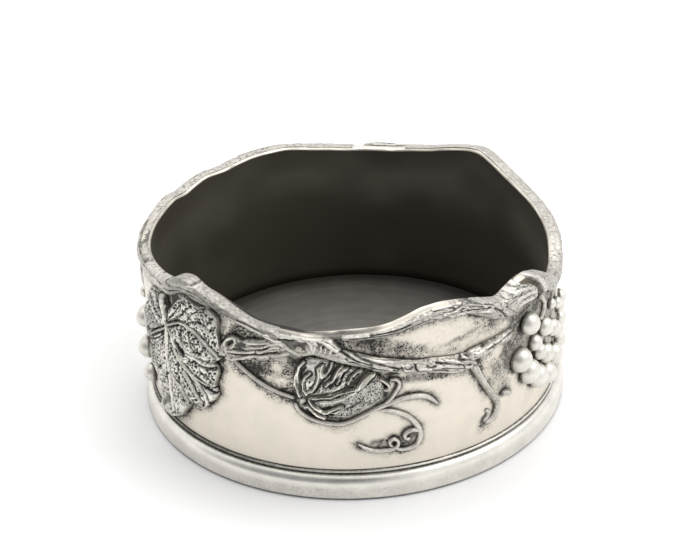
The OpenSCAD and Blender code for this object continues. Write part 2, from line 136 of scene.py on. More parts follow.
def bell(distance, width):
    """1 on the line, falling as exp(-(distance / width)^2)."""
    return np.exp(-(distance / width) ** 2)


def line_distance(x, y, points):
    """Distance from each place to a line of straight stretches through the points."""
    best = np.full(np.shape(x), 1e9)
    for (ax, ay), (bx, by) in zip(points[:-1], points[1:]):
        ux, uy = bx - ax, by - ay
        t = np.clip(((x - ax) * ux + (y - ay) * uy) / max(ux * ux + uy * uy, 1e-9), 0, 1)
        best = np.minimum(best, np.hypot(x - ax - t * ux, y - ay - t * uy))
    return best


print("noise at one place:", round(float(soft_noise(3.3, 4.4, 2.0, 1)), 3))

# %% [markdown]
# ## From grids to meshes
#
# Nearly every piece is a grid of points whose columns run round a closed section. If its rows also run round,
# as in the wall band, the grid is a closed ring. If not, each end is closed to a middle point, as in a twig or
# a leaf, whose rows run from the middle of its face out to its edge and back in underneath. One function makes
# the triangles for both. It measures the signed volume and turns the faces over if it is negative, so they
# always point outwards.

# %% Mesh helpers
def grid_mesh(P, ring=False):
    """Points and triangles of a grid (rows, columns, 3) that is closed across its columns.
    Each square of neighbours gives two triangles, and an open end gives a fan to the mean of its row."""
    m, n = P.shape[:2]
    i, k = np.meshgrid(np.arange(m if ring else m - 1), np.arange(n), indexing="ij")
    a, b = i * n + k, i * n + (k + 1) % n
    c, d = (i + 1) % m * n + (k + 1) % n, (i + 1) % m * n + k
    faces = np.concatenate([np.stack([a, b, c], -1).reshape(-1, 3), np.stack([a, c, d], -1).reshape(-1, 3)])
    points = P.reshape(-1, 3)
    if not ring:
        k = np.arange(n)
        top, end = m * n, m * n + 1
        faces = np.concatenate([faces, np.stack([(k + 1) % n, k, 0 * k + top], -1),
                                np.stack([(m - 1) * n + k, (m - 1) * n + (k + 1) % n, 0 * k + end], -1)])
        points = np.concatenate([points, P[:1].mean(1), P[-1:].mean(1)])
    p, q, r = (points[faces[:, s]] for s in range(3))
    if np.einsum("ij,ij->", p, np.cross(q, r)) < 0:
        faces = faces[:, ::-1]
    return points, faces


def with_poles(values, ring=False):
    """Values on the grid, with one for each of the two end points that grid_mesh adds."""
    flat = values.reshape(-1)
    return flat if ring else np.concatenate([flat, [values[0].mean(), values[-1].mean()]])


def shifted(P, rows, columns, ring=False):
    """The grid read so many rows and columns away. Columns go round; rows go round too in a ring, or stop."""
    P = np.roll(P, -columns, axis=1)
    if ring:
        return np.roll(P, -rows, axis=0)
    return P[np.clip(np.arange(len(P)) + rows, 0, len(P) - 1)]


def hollow_depth(P, reach, ring=False):
    """How far each point lies below the mean of four neighbours, reach steps away, along its normal, in mm.
    The normal is the cross product of the differences along rows and columns, turned away from the middle."""
    along = shifted(P, 1, 0, ring) - shifted(P, -1, 0, ring)
    across = shifted(P, 0, 1, ring) - shifted(P, 0, -1, ring)
    normal = np.cross(along, across)
    normal /= np.maximum(np.linalg.norm(normal, axis=-1, keepdims=True), 1e-12)
    points, faces = grid_mesh(P, ring)
    first = faces[0]
    turn = np.cross(points[first[1]] - points[first[0]], points[first[2]] - points[first[0]])
    row, column = divmod(int(first[0]) % (P.shape[0] * P.shape[1]), P.shape[1])
    if np.dot(turn, normal[row, column]) < 0:
        normal = -normal
    mean = sum(shifted(P, i * reach, k * reach, ring) for i, k in ((1, 0), (-1, 0), (0, 1), (0, -1))) / 4
    return np.einsum("ijk,ijk->ij", mean - P, normal) / MM


def joined(parts):
    """Several (points, faces, marks) made one, with the faces counted on."""
    points, faces, marks, start = [], [], {}, 0
    for p, f, m in parts:
        points.append(p)
        faces.append(f + start)
        start += len(p)
        for key in m:
            marks.setdefault(key, []).append(m[key])
    return np.concatenate(points), np.concatenate(faces), {k: np.concatenate(v) for k, v in marks.items()}


def make_piece(name, node, slot, points, faces, marks):
    """A smooth mesh object of the given triangles, with one float attribute for each mark. It rides on the
    root and stands for its CAD node. The slot is not used."""
    mesh = bpy.data.meshes.new(name)
    mesh.vertices.add(len(points))
    mesh.vertices.foreach_set("co", points.astype(np.float32).ravel())
    mesh.loops.add(faces.size)
    mesh.loops.foreach_set("vertex_index", faces.astype(np.int32).ravel())
    mesh.polygons.add(len(faces))
    mesh.polygons.foreach_set("loop_start", np.arange(0, faces.size, 3, dtype=np.int32))
    mesh.update(calc_edges=True)
    mesh.polygons.foreach_set("use_smooth", np.ones(len(faces), bool))
    for key, values in marks.items():
        mesh.attributes.new(key, "FLOAT", "POINT").data.foreach_set("value", values.astype(np.float32))
    piece = bpy.data.objects.new(name, mesh)
    bpy.context.scene.collection.objects.link(piece)
    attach(piece, "root")
    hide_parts(node)
    print(name, len(faces), "triangles")
    return piece

# %% [markdown]
# ## The rim and the paths of the vine
#
# The rim of the real coaster is the vine itself: it swells into knots, sinks, and rises again over the grapes.
# The tables below are the CAD part's own, so each visible piece lies where its node does. A strand is a table
# of rows: turn, height, half width and how far it stands off the wall. Catmull-Rom blending takes a smooth
# curve through the rows, because it passes through every one of them, and even spacing along the curve keeps
# the bark at one scale.

# %% Sizes and rim tables
RIM_H, RIM_WAVE = 50.0, 8.0
VINE_W, VINE_PROUD = 4.0, 2.0
TWIG_W, TWIG_PROUD = 2.4, 1.5
TENDRIL_W, TENDRIL_PROUD = 1.3, 0.9
LEAF_REACH, SMALL_REACH = 31.0, 12.5
FIT_GAP = 0.2
RING_TOP = 8.4

RIM_SHARES = np.array([
    [-180, -0.12], [-170, 0], [-160, 0.2], [-148, 0.17], [-138, 0], [-130, 0.07],
    [-120, -0.12], [-114, 0], [-105, -0.06], [-90, -0.06], [-80, 0.06], [-66, 0.25],
    [-60, 0.31], [-54, 0.44], [-49.5, 0.8], [-47, 0.96], [-44.5, 0.98], [-41.5, 0.76],
    [-37, 0.61], [-30.5, 0.25], [-27, 0.06], [-23.5, -0.03], [-17, -0.11], [-13.5, -0.19],
    [-7.5, -0.2], [-1, -0.09], [5, -0.06], [8, 0], [11, 0.1], [14.5, 0.18],
    [17.5, 0.31], [23, 0.33], [28, 0.3], [32.5, 0.23], [36, 0.1], [40, -0.05],
    [44, 0.13], [46, 0.25], [50, 0.31], [52, 0.25], [57, 0.04], [60.5, -0.2],
    [68, -0.85], [74, -1], [80, -0.98], [88, -0.69], [94, -0.56], [104, -0.42],
    [115, -0.25], [122, -0.06], [128, 0.2], [134, 0.5], [138, 0.48], [145, 0.3],
    [153, 0.06], [165, -0.12], [180, -0.12]])
RIM_VINE_SHARES = np.array([
    [-188, 0.5, 0.45], [-180, 0.8, 0.7], [-170, 1, 0.8], [-150, 1.1, 0.9], [-135, 1, 0.75],
    [-120, 1.05, 0.9], [-100, 1.1, 1], [-80, 1, 0.8], [-60, 1, 0.85], [-45, 1.1, 1],
    [-38, 0.9, 0.8], [-30, 0.7, 0.7], [-22, 0.65, 0.7], [-16, 0.8, 0.85], [-8, 0.4, 0.4],
    [0, 0.6, 0.6], [10, 0.7, 0.7], [20, 0.8, 0.8], [30, 0.8, 0.8], [37, 1.2, 1],
    [43, 1.7, 1.25], [50, 1.8, 1.2], [57, 1.4, 1], [63, 1.1, 0.8], [75, 1, 0.8],
    [100, 1.1, 1], [120, 1, 0.8], [135, 1.1, 1], [142, 0.9, 0.8], [150, 0.7, 0.7],
    [158, 0.65, 0.7], [164, 0.8, 0.85]])


RIM_LIFT = np.array([
    [-180, 0], [-50, -0.15], [-44, -0.15], [-36, 0.3], [-30, 0.7], [-25, 0.5], [-20, 0.2], [-15, 0.4], [-10, 0.2],
    [-4, 0.1], [0, 0], [10, 0], [15, 0.7], [18, 0.9], [22, 1.1], [26, 1.0], [29, 0.9], [33, 0.6], [36, 0.4], [60, 0],
    [180, 0]])
RIM_SLIM = np.array([
    [-180, 1, 1], [-115, 1, 1], [-105, 1, 0.35], [-62, 1, 0.35], [-52, 1, 0.8], [-42, 1, 1], [-36, 0.8, 1],
    [-30, 0.7, 1], [-22, 0.8, 1], [-14, 1, 1], [-8, 0.45, 1], [10, 0.5, 1], [16, 0.8, 1], [24, 1, 1], [62, 1, 1],
    [68, 1, 0.6], [108, 1, 0.6], [120, 1, 1], [180, 1, 1]])
# Darkness floor of the rim vine by turn. From -50 to -14 degrees it is raised to 0.42 as painted shade: the front left
# of the rim is made greyer to stand for a dimmer reflection there.
RIM_GREY_AND_PAINTED_SHADE = np.array([[-180, 0.2], [-115, 0.2], [-100, 0.12], [-60, 0.12], [-50, 0.42], [-14, 0.42], [-6, 0.3], [180, 0.24]])
RIM_WRAP = np.array([[-180, 2.5], [-45, 2.5], [-34, 2.0], [-14, 1.8], [-8, 0.3], [14, 0.3], [24, 2.4], [180, 2.5]])


def rim_z(turn):
    """Height of the rim: the table's swing, averaged over a degree and a half to each side, and what the
    casting adds to it."""
    share = lambda t: np.interp(wrapped(t), RIM_SHARES[:, 0], RIM_SHARES[:, 1])
    return (RIM_H + RIM_WAVE * (share(turn - 1.5) + 2 * share(turn) + share(turn + 1.5)) / 4
            + np.interp(wrapped(turn), RIM_LIFT[:, 0], RIM_LIFT[:, 1]))


def rim_vine(turn):
    """Half width and stand-off of the vine along the rim."""
    t = wrapped(turn)
    t = np.where(t > 164, t - 360, t)
    slim, flush = (np.interp(wrapped(turn), RIM_SLIM[:, 0], RIM_SLIM[:, k]) for k in (1, 2))
    return (VINE_W / 2 * slim * np.interp(t, RIM_VINE_SHARES[:, 0], RIM_VINE_SHARES[:, 1]),
            VINE_PROUD * flush * np.interp(t, RIM_VINE_SHARES[:, 0], RIM_VINE_SHARES[:, 2]))


print("rim from", round(float(rim_z(np.arange(-180, 180)).min()), 1), "to",
      round(float(rim_z(np.arange(-180, 180)).max()), 1), "mm")

# %% Paths
CROSS = [[-12, 0.945, 1, 0.9], [-8, 0.917, 1.1, 1], [-4, 0.885, 1.15, 1], [0, 0.861, 1.15, 1],
         [5, 0.83, 1.1, 1], [10, 0.804, 1.05, 0.95], [15, 0.777, 1, 0.95], [20, 0.755, 1, 1],
         [25, 0.734, 1.1, 1.1], [31, 0.72, 1.25, 1.15]]
UPPER_TWIG = [[28.5, 0.748, 1.3, 1.3], [31.6, 0.752, 1.4, 1.3], [34.5, 0.757, 1.35, 1.2], [38, 0.764, 1.2, 1.1],
              [41.5, 0.768, 1.25, 0.9], [44.5, 0.768, 1.15, 0.55]]
LOWER_TWIG = [[29.2, 0.72, 1.2, 1.3], [31, 0.68, 1.0, 1.25], [32.4, 0.62, 0.75, 1.1], [34, 0.56, 0.7, 1.0],
              [35.7, 0.5, 0.7, 1.0], [37.4, 0.445, 0.75, 1.0], [38.8, 0.4, 0.8, 1.0], [39.2, 0.355, 0.8, 0.8],
              [38.6, 0.315, 0.8, 0.6], [37, 0.29, 0.7, 0.5], [35.2, 0.285, 0.4, 0.3]]
INNER_CURL = [[35.2, 0.365, 0.4, 0.3], [36.3, 0.345, 0.55, 0.4], [35.9, 0.32, 0.55, 0.4], [34.4, 0.3, 0.35, 0.3]]
BUD = [[40.7, 0.42, 0.45, 0.6], [42, 0.415, 0.75, 1], [43.4, 0.408, 0.7, 0.9], [44.4, 0.404, 0.3, 0.4]]
LEAF_STEM = [[-57.6, 1, 1, 1.1], [-56.2, 0.77, 1, 1.2], [-55.5, 0.4, 0.9, 1.2], [-55.7, 0.06, 0.8, 1.2]]
GRAPE_STEM = [[57.2, 1, 0.7, 0.9], [58.9, 0.75, 0.5, 0.7], [60.2, 0.52, 0.45, 0.65], [59.6, 0.25, 0.45, 0.65],
              [57.8, 0.04, 0.45, 0.7]]
LEAF_STALK = [[0.19, 0.768, 1, 1], [0.36, 0.715, 1.1, 1.1], [0.56, 0.665, 1.1, 1.1], [0.76, 0.63, 1, 1],
              [1, 0.605, 1, 1]]
TENDRILS = [
    [(-15.2, 28.7, 0.5, 0.7), (-14.4, 26.7, 0.55, 0.8), (-12.1, 24.8, 0.6, 0.9), (-8.4, 23.4, 0.6, 0.9),
     (-4.1, 23.0, 0.6, 0.9), (-1.5, 23.8, 0.6, 0.9), (1.1, 25.1, 0.62, 0.95), (3.7, 26.6, 0.65, 1), (6, 27.7, 0.7, 1),
     (9, 28.7, 0.65, 1), (11.6, 29.4, 0.7, 1), (14.3, 29.5, 0.75, 1), (17, 29.0, 0.75, 0.9), (19.1, 27.6, 0.6, 0.7),
     (20.9, 25.4, 0.3, 0.3)],
    [(5.4, 26.6, 0.4, 0.6), (8.3, 26.2, 0.6, 0.9), (10.6, 25.2, 0.65, 1), (12.9, 23.6, 0.7, 1.05),
     (14.7, 21.3, 0.75, 1.1), (15.8, 19, 0.75, 1.1), (16, 16.7, 0.75, 1.1), (15.2, 14.8, 0.65, 1),
     (13.4, 13.8, 0.55, 0.9), (11.4, 13.6, 0.5, 0.8), (9.7, 14.0, 0.4, 0.6)],
    [(15.8, 18.4, 0.5, 0.8), (14.9, 19.1, 0.65, 1.05), (13.8, 19.3, 0.65, 1.1), (12.5, 18.8, 0.6, 1.05),
     (11.9, 17.7, 0.55, 1), (12.5, 16.8, 0.5, 0.9), (13.5, 16.9, 0.35, 0.7)],
    [(0.2, 16.4, 0.2, 0.25), (2.1, 15, 0.5, 0.7), (4.1, 14.2, 0.6, 0.9), (6.4, 14, 0.6, 0.95), (8.7, 14.2, 0.6, 0.95),
     (10.1, 15.1, 0.55, 0.95), (10.2, 16.5, 0.5, 0.95), (9.2, 17.3, 0.5, 0.95), (8.2, 16.7, 0.5, 0.95),
     (8.3, 15.5, 0.45, 0.9), (9.0, 15.2, 0.3, 0.7)],
    [(6.3, 27.7, 0.5, 0.7), (8.4, 29.6, 0.55, 0.9), (9.7, 31.4, 0.55, 0.95), (10.7, 33.2, 0.55, 0.95),
     (10.8, 34.6, 0.5, 0.95), (9.8, 35.5, 0.45, 0.85), (8.4, 35.5, 0.35, 0.6)],
    [(5.8, 36.6, 0.35, 1.6), (7.2, 35.4, 0.45, 1.6), (8.2, 34, 0.5, 1.5), (7.8, 33, 0.5, 1.5),
     (6.6, 33.1, 0.35, 1.3)]]
LARGE_PLACE, SMALL_PLACE = (-55.8, 40.5), (-3.6, 32.6)


def rim_rows(start, stop, step=3):
    """Rows of the vine along the rim, from one turn to another."""
    turn = np.arange(start, stop + 0.01, step)
    half, proud = rim_vine(turn)
    return np.stack([turn, rim_z(turn) - half, half, proud], -1)


def strand_rows(shares, width, proud, turn=0.0):
    """Rows at the size of their strand, moved round the wall by turn."""
    return np.array(shares) * [1, RIM_H, width / 2, proud] + [turn, 0, 0, 0]


def large_place(turn):
    """Stalk of a large leaf. It drops by as much as the foot of the rim vine is lower on that side."""
    foot = lambda t: float(rim_z(t) - 2 * rim_vine(t)[0])
    return LARGE_PLACE[0] + turn, LARGE_PLACE[1] - foot(LARGE_PLACE[0]) + foot(LARGE_PLACE[0] + turn)


def cross_rows(turn):
    """Rows of the cross vine. Near the knot it is pulled thinner and hangs a little lower."""
    rows = strand_rows(CROSS, VINE_W, VINE_PROUD, turn)
    rows[:, 2] *= np.interp(rows[:, 0] - turn, [-12, 0, 10, 15, 20], [0.8, 0.74, 0.78, 0.86, 1])
    rows[:, 1] -= np.interp(rows[:, 0] - turn, [-12, -4, 14, 20], [0.9, 0.5, 0.5, 0])
    return rows


def beside_leaf(shares, width, proud, turn, size, to):
    """Rows whose first number is a share of the way from the side of the large leaf to another turn."""
    rows = strand_rows(shares, width, proud)
    start = large_place(turn)[0] + (LEAF_REACH * size * 0.68 + FIT_GAP) / DEG
    rows[:, 0] = start + rows[:, 0] * (to - start)
    return rows


def hanging(shares, turn, low):
    """Rows of a stem from the vine along the rim down to what hangs on it."""
    rows = np.array(shares) * [1, 1, TWIG_W / 2, TWIG_PROUD] + [turn, 0, 0, 0]
    half = rim_vine(rows[0, 0])[0]
    high = float(rim_z(rows[0, 0]) - 2 * half) - TWIG_W / 2 - FIT_GAP
    rows[:, 1] = low + rows[:, 1] * (high - low)
    return rows


def eased(rows, step):
    """Catmull-Rom curve through the rows, then re-spaced so that its places are about step mm apart.
    Gives the rows and the length along the curve at each."""
    rows = np.asarray(rows, float)
    last = len(rows) - 1
    i, t = np.repeat(np.arange(last), 24), np.tile(np.arange(24) / 24, last)[:, None]
    a, b, c, d = (rows[np.clip(i + s, 0, last)] for s in (-1, 0, 1, 2))
    curve = (2 * b + (c - a) * t + (2 * a - 5 * b + 4 * c - d) * t ** 2 + (3 * b - a - 3 * c + d) * t ** 3) / 2
    curve = np.vstack([curve, rows[-1]])
    length = np.concatenate([[0], np.cumsum(np.hypot(np.diff(curve[:, 0]) * DEG, np.diff(curve[:, 1])))])
    even = np.linspace(0, length[-1], max(int(length[-1] / step), 8) + 1)
    return np.stack([np.interp(even, length, curve[:, k]) for k in range(4)], -1), even


print("front leaf stalk at", LARGE_PLACE, "back one at", [round(float(v), 1) for v in large_place(180)])

# %% [markdown]
# ## A strand of vine
#
# Each vine, twig and tendril is one closed tube, flat against the wall and domed outside, with a small flare
# at its foot where the casting runs into the wall. Two kinds of bark are pushed out of it. Where the vine is
# old, long cells break it into plates with cracks between them. Where it is young or pulled tight, a few long
# grooves run with it, as in a twisted cord. The same numbers give the marks for the finish, so the dark always
# lies in the cracks.

# %% Drawn lines
def moved(cords, turn):
    """The same lines, further round the wall."""
    return [(width, up, black, [(t + turn, h) for t, h in points]) for width, up, black, points in cords]


def drawn(turn, high, cords):
    """What drawn lines do at each place: rise, black and bright. A line has a half width w, a rise, how
    black it is (below nought: how bright) and points of turn and height, joined by a Catmull-Rom curve.
    At distance d its body is (1 - (d / w)^2)^0.7."""
    rise, cut, black, bright = (np.zeros(np.broadcast(turn, high).shape) for _ in range(4))
    x = (wrapped(turn) + 180) * DEG
    waver = 0.11 * soft_noise(x, high, 0.8, 81) + 0.1 * soft_noise(x, high, 2.1, 82)
    fade = 0.5 + 0.5 * ramp(-0.6, 0.2, soft_noise(x, high, 1.3, 83))
    for width, up, dark, points in cords:
        path, _ = eased(np.array([[t * DEG, h, 0, 0] for t, h in points]), 0.5)
        d = np.maximum(line_distance(turn * DEG, high, path[:, :2]) + waver * min(1, width / 0.4), 0) / width
        body = np.clip(1 - d * d, 0, 1) ** 0.7
        if up < 0 and width < 0.3:
            body = body * fade
        rise, cut = np.maximum(rise, up * body), np.maximum(cut, -up * body)
        black, bright = np.maximum(black, dark * body ** 0.5), np.maximum(bright, -dark * body)
    return rise - cut, black, bright


# %% Strand surface
def strand(rows, seed, bark=1.0, plates=(1.0, 1.0), grooves=(0.0, 0.0), count=4, across=28, step=0.3,
           tips=(1.0, 1.0), plate=(4.2, 1.3), wrap=None, cords=(), grey=0.15, merge=0.0):
    """Grid of a strand and its marks. Round the section, with angle f, the side is half * cos f and the
    stand-off is proud * (sin f)^0.8 in front and nothing behind. Both shrink to the ends as a circle does, over
    a length of tips times the half width. Plates and grooves say how much of each bark there is, from the
    first row to the last. With wrap, a table of turn and mm, the upper side runs inwards over the rim, and with
    merge it runs out flat into the wall."""
    path, length = eased(rows, step)
    turn, high, half, proud = path.T
    # grey is a floor for the darkness. Given as a table by turn, as along the rim, it also carries painted shade on the
    # front left.
    grey = np.interp(wrapped(turn), grey[:, 0], grey[:, 1])[:, None] if np.ndim(grey) else grey
    run, rise = np.gradient(turn) * DEG, np.gradient(high)
    size = np.hypot(run, rise)
    u, v = -rise / size, run / size
    left = np.clip(length / np.maximum(tips[0] * half[0], 0.05), 0.02, 1)
    right = np.clip((length[-1] - length) / np.maximum(tips[1] * half[-1], 0.05), 0.02, 1)
    tip = np.sqrt(1 - (1 - left) ** 2) * np.sqrt(1 - (1 - right) ** 2)
    angle = np.linspace(-np.pi / 2, 1.5 * np.pi, across, endpoint=False)
    c, s = np.cos(angle)[None], np.sin(angle)[None]
    share = (length / length[-1])[:, None]
    plated = bark * np.interp(share, np.linspace(0, 1, len(plates)), plates)
    grooved = np.interp(share, np.linspace(0, 1, len(grooves)), grooves)
    along, wide = length[:, None] + 0 * c, half.mean()
    girth = (angle[None] + 0 * along) * wide * 1.25
    first, second, tone = cell_noise(along / plate[0], girth / plate[1], 1.0, seed)
    crack = (1 - ramp(0.02, 0.13, second - first)) * plated
    fibre = soft_noise(along, girth * 9, 2.4, seed + 1)
    lump = soft_noise(along, girth, 3.0, seed + 2) + 0.5 * soft_noise(along, girth, 1.1, seed + 3)
    drift = 0.7 * soft_noise(along, girth * 0, 9.0, seed + 4) + 0.25 * soft_noise(along, girth, 3.0, seed + 5)
    groove = bell(np.sin((angle[None] + drift) * count / 2), 0.26) * grooved
    rise, black, bright = drawn(turn[:, None] + u[:, None] * half[:, None] * c / DEG,
                                high[:, None] + v[:, None] * half[:, None] * c, cords)
    push = (0.14 * lump * bark + 0.3 * plated * (tone - 0.45) - 0.26 * crack + 0.05 * fibre * bark
            - 0.34 * groove) * np.minimum(half, 2)[:, None] / 2 + rise
    front = ramp(-0.35, 0.4, s)
    over = 0 * turn if wrap is None else np.interp(wrapped(turn), wrap[:, 0], wrap[:, 1])
    topside = max(merge, wrap is not None) * ramp(0, 0.6, c)
    w = (half[:, None] + 0.5 * push * front) * tip[:, None] * (1 + 0.1 * (1 - topside) * (1 - np.clip(s, 0, 1)) ** 5)
    p = np.maximum(proud[:, None] + push * front, 0.2) * tip[:, None]
    off = (SOLDER + np.minimum(p * np.clip(s, 0, 1) ** (0.8 + merge * topside), 2.3)
           - over[:, None] * tip[:, None] * ramp(0.5, -0.15, s) * ramp(0.55, 0.92, c))
    P = on_wall(turn[:, None] + u[:, None] * w * c / DEG, high[:, None] + v[:, None] * w * c, off)
    deep = np.clip(hollow_depth(P, 2) / 0.14, 0, 1) * (1 - merge * ramp(0, 0.6, c) * ramp(0.6, 0.3, s))
    low = ramp(0.3, 0.0, s) * (1 - topside)
    tarnish = np.clip(np.maximum.reduce([(0.7 if wrap is None else 0.9) * crack, 0.6 * low + 0 * w, 0.5 * deep, 0.6 * groove, 0.85 * black,
                                         grey + 0 * w]) - 0.35 * bright, 0, 1)
    brown = 0.15 + 0.8 * ramp(0.6, 0.85, -rise)
    marks = {"tarnish": with_poles(tarnish),
             "dots": with_poles(np.clip(0.04 + 0.25 * lump * bark - bright, 0, 1)),
             "polish": with_poles(np.clip(0.3 * tone * ramp(0.3, 1, s) + 0.5 * bright, 0, 1)),
             "brown": with_poles(brown)}
    points, faces = grid_mesh(P)
    return points, faces, marks


print("strand helper ready")

# %% [markdown]
# ## Leaves
#
# A cast leaf is a thin shield with rolled edges, raised veins, folds and a pitted ground between them. It is
# drawn flat first, in millimetres right of and above its stalk. Straight rays run from a middle point out to
# the outline, so one grid covers the whole shape, and the last rows roll over the edge and come back against
# the wall. Ridges and grooves are lines laid over it: a bell of their distance is added to the height or taken
# from it, and the same bells mark where the metal was wiped bright or left black.

# %% Drawings of the large leaf
LARGE_OUTLINE = [
    (-6.6, -26.6), (-9.4, -29.6), (-9.3, -31.2), (-6.6, -31.9), (-2.7, -31.3), (1.1, -29.8), (4.2, -27.7),
    (5.8, -25.7), (7.4, -23.6), (9, -21.3), (10.5, -20.9), (13, -20.4), (14.7, -20.5), (16.1, -19.4),
    (16.9, -18.1), (18.5, -16.2), (19.4, -14.7), (19, -13.3), (18.6, -11.9), (20, -8.4), (20.3, -7),
    (19.9, -5.7), (19.1, -4.7), (21.6, -2.7), (22, -1.8), (21.4, 0.1), (21.3, 2.6), (21, 4), (21.4, 6.7),
    (21.3, 8.8), (19.9, 10.1), (18.8, 11.1), (16.7, 12.6), (15, 13.3), (13.2, 13.8), (11.3, 13.2), (9.8, 12),
    (7.3, 9.6), (5.1, 7.2), (3, 4.9), (2.2, 4.0), (1.5, 4.9), (0.9, 6.8), (0.2, 9.0), (-0.6, 10.8), (-4.6, 11),
    (-7.4, 7.4), (-9.8, 3.8), (-12.2, 0.3), (-14.4, -3), (-16.4, -6.8), (-16.8, -9.6), (-15.2, -11.4), (-12.6, -11.2),
    (-10.6, -11), (-12.4, -12.8), (-13.8, -15), (-14, -17.6), (-12.6, -19.6), (-10.4, -20.2), (-8.6, -20.6),
    (-7.6, -21.4), (-6.8, -22.6), (-5.6, -24.2), (-5, -25)]
LARGE_MIDDLE = (3.0, -6.5)
LARGE_RIDGES = [
    [(-1, 8.9), (-0.1, 4.9), (0.6, 2.3), (0.8, -0.3)],
    [(0.6, -1.5), (-2.4, -3.4), (-5.4, -5.4), (-9.3, -8.2)],
    [(1, -0.6), (4, 1.3), (7.2, 3.1), (10.2, 3.5), (12.9, 3.1), (15.7, 1.4), (18.7, -0.7), (21.5, -2.8)],
    [(0.6, -1.1), (0.5, -3.7), (0.1, -9.4), (0.3, -12.9), (-0.1, -17.9), (-0.1, -22.9), (0.5, -27.8)],
    [(1.6, -1.6), (2.3, -4.1), (3.5, -6.1), (5.5, -8.1), (8.3, -10.1), (11.8, -11.5), (16.4, -12.8), (19.3, -13.3)],
    [(1.4, -15.7), (5.5, -18.1), (8.2, -21.1)],
    [(9.6, -10.2), (12.9, -13), (15.4, -15.8), (16.1, -18.5)],
    [(7.5, -11.8), (9.5, -14.2), (11.2, -16.7), (13.8, -19.3)]]
LARGE_GROOVES = [
    [(8.2, 2.4), (8, 0.2), (8.2, -1.9)],
    [(11.6, 2), (11.4, -0.6), (12.1, -2.6), (13.4, -3.5), (15.1, -3.2)],
    [(0.2, -1.6), (-0.6, -6.4), (-1, -11.6), (-1.5, -16.9), (-1.9, -20.5)],
    [(1.7, -1), (2.8, -5.7), (4.4, -7.9), (5.8, -9.2)],
    [(0.3, -15.9), (2.2, -17), (4.5, -18.6), (6.8, -21.5)],
    [(5.8, -9.2), (5.2, -11.8), (5, -14.9), (5.4, -17.1)],
    [(8.2, -10.8), (11.1, -14.1), (14.3, -19.2)],
    [(-7.5, -18.2), (-4.5, -15.7)],
    [(14.3, -8.9), (17.5, -9.8)],
    [(12.2, -11.3), (16.4, -12.8), (19.1, -13.3)],
    [(-2.7, 7.5), (-2.2, 5.8), (-1.5, 3.3), (-0.2, 0.4)],
    [(-5.9, 2.7), (-3, 1.6), (0.1, 0.2)],
    [(-1.8, -3.6), (-1.3, -5.1), (-2, -7.5)]]
LARGE_HOLLOWS = [
    ([(1.7, 3.2), (1.5, 5.3), (0.6, 7.4), (-0.9, 9.6)], 0.8, 0.9),
    ([(-7, -28.2), (-5.4, -28.7), (-3.4, -25.5), (-0.9, -23.1)], 1.6, 0.15)]
LARGE_SMOOTH = [(15.3, -11.2, 1.2), (17.3, -15.4, 1.5), (15.3, -7.6, 1.1), (8.3, -20.4, 1.2), (5.4, -24.9, 2.0),
                (-5.4, -28.2, 2.4), (19, -2.1, 1.4), (-14.4, -6.2, 1.8), (6.6, -4.6, 2.0)]
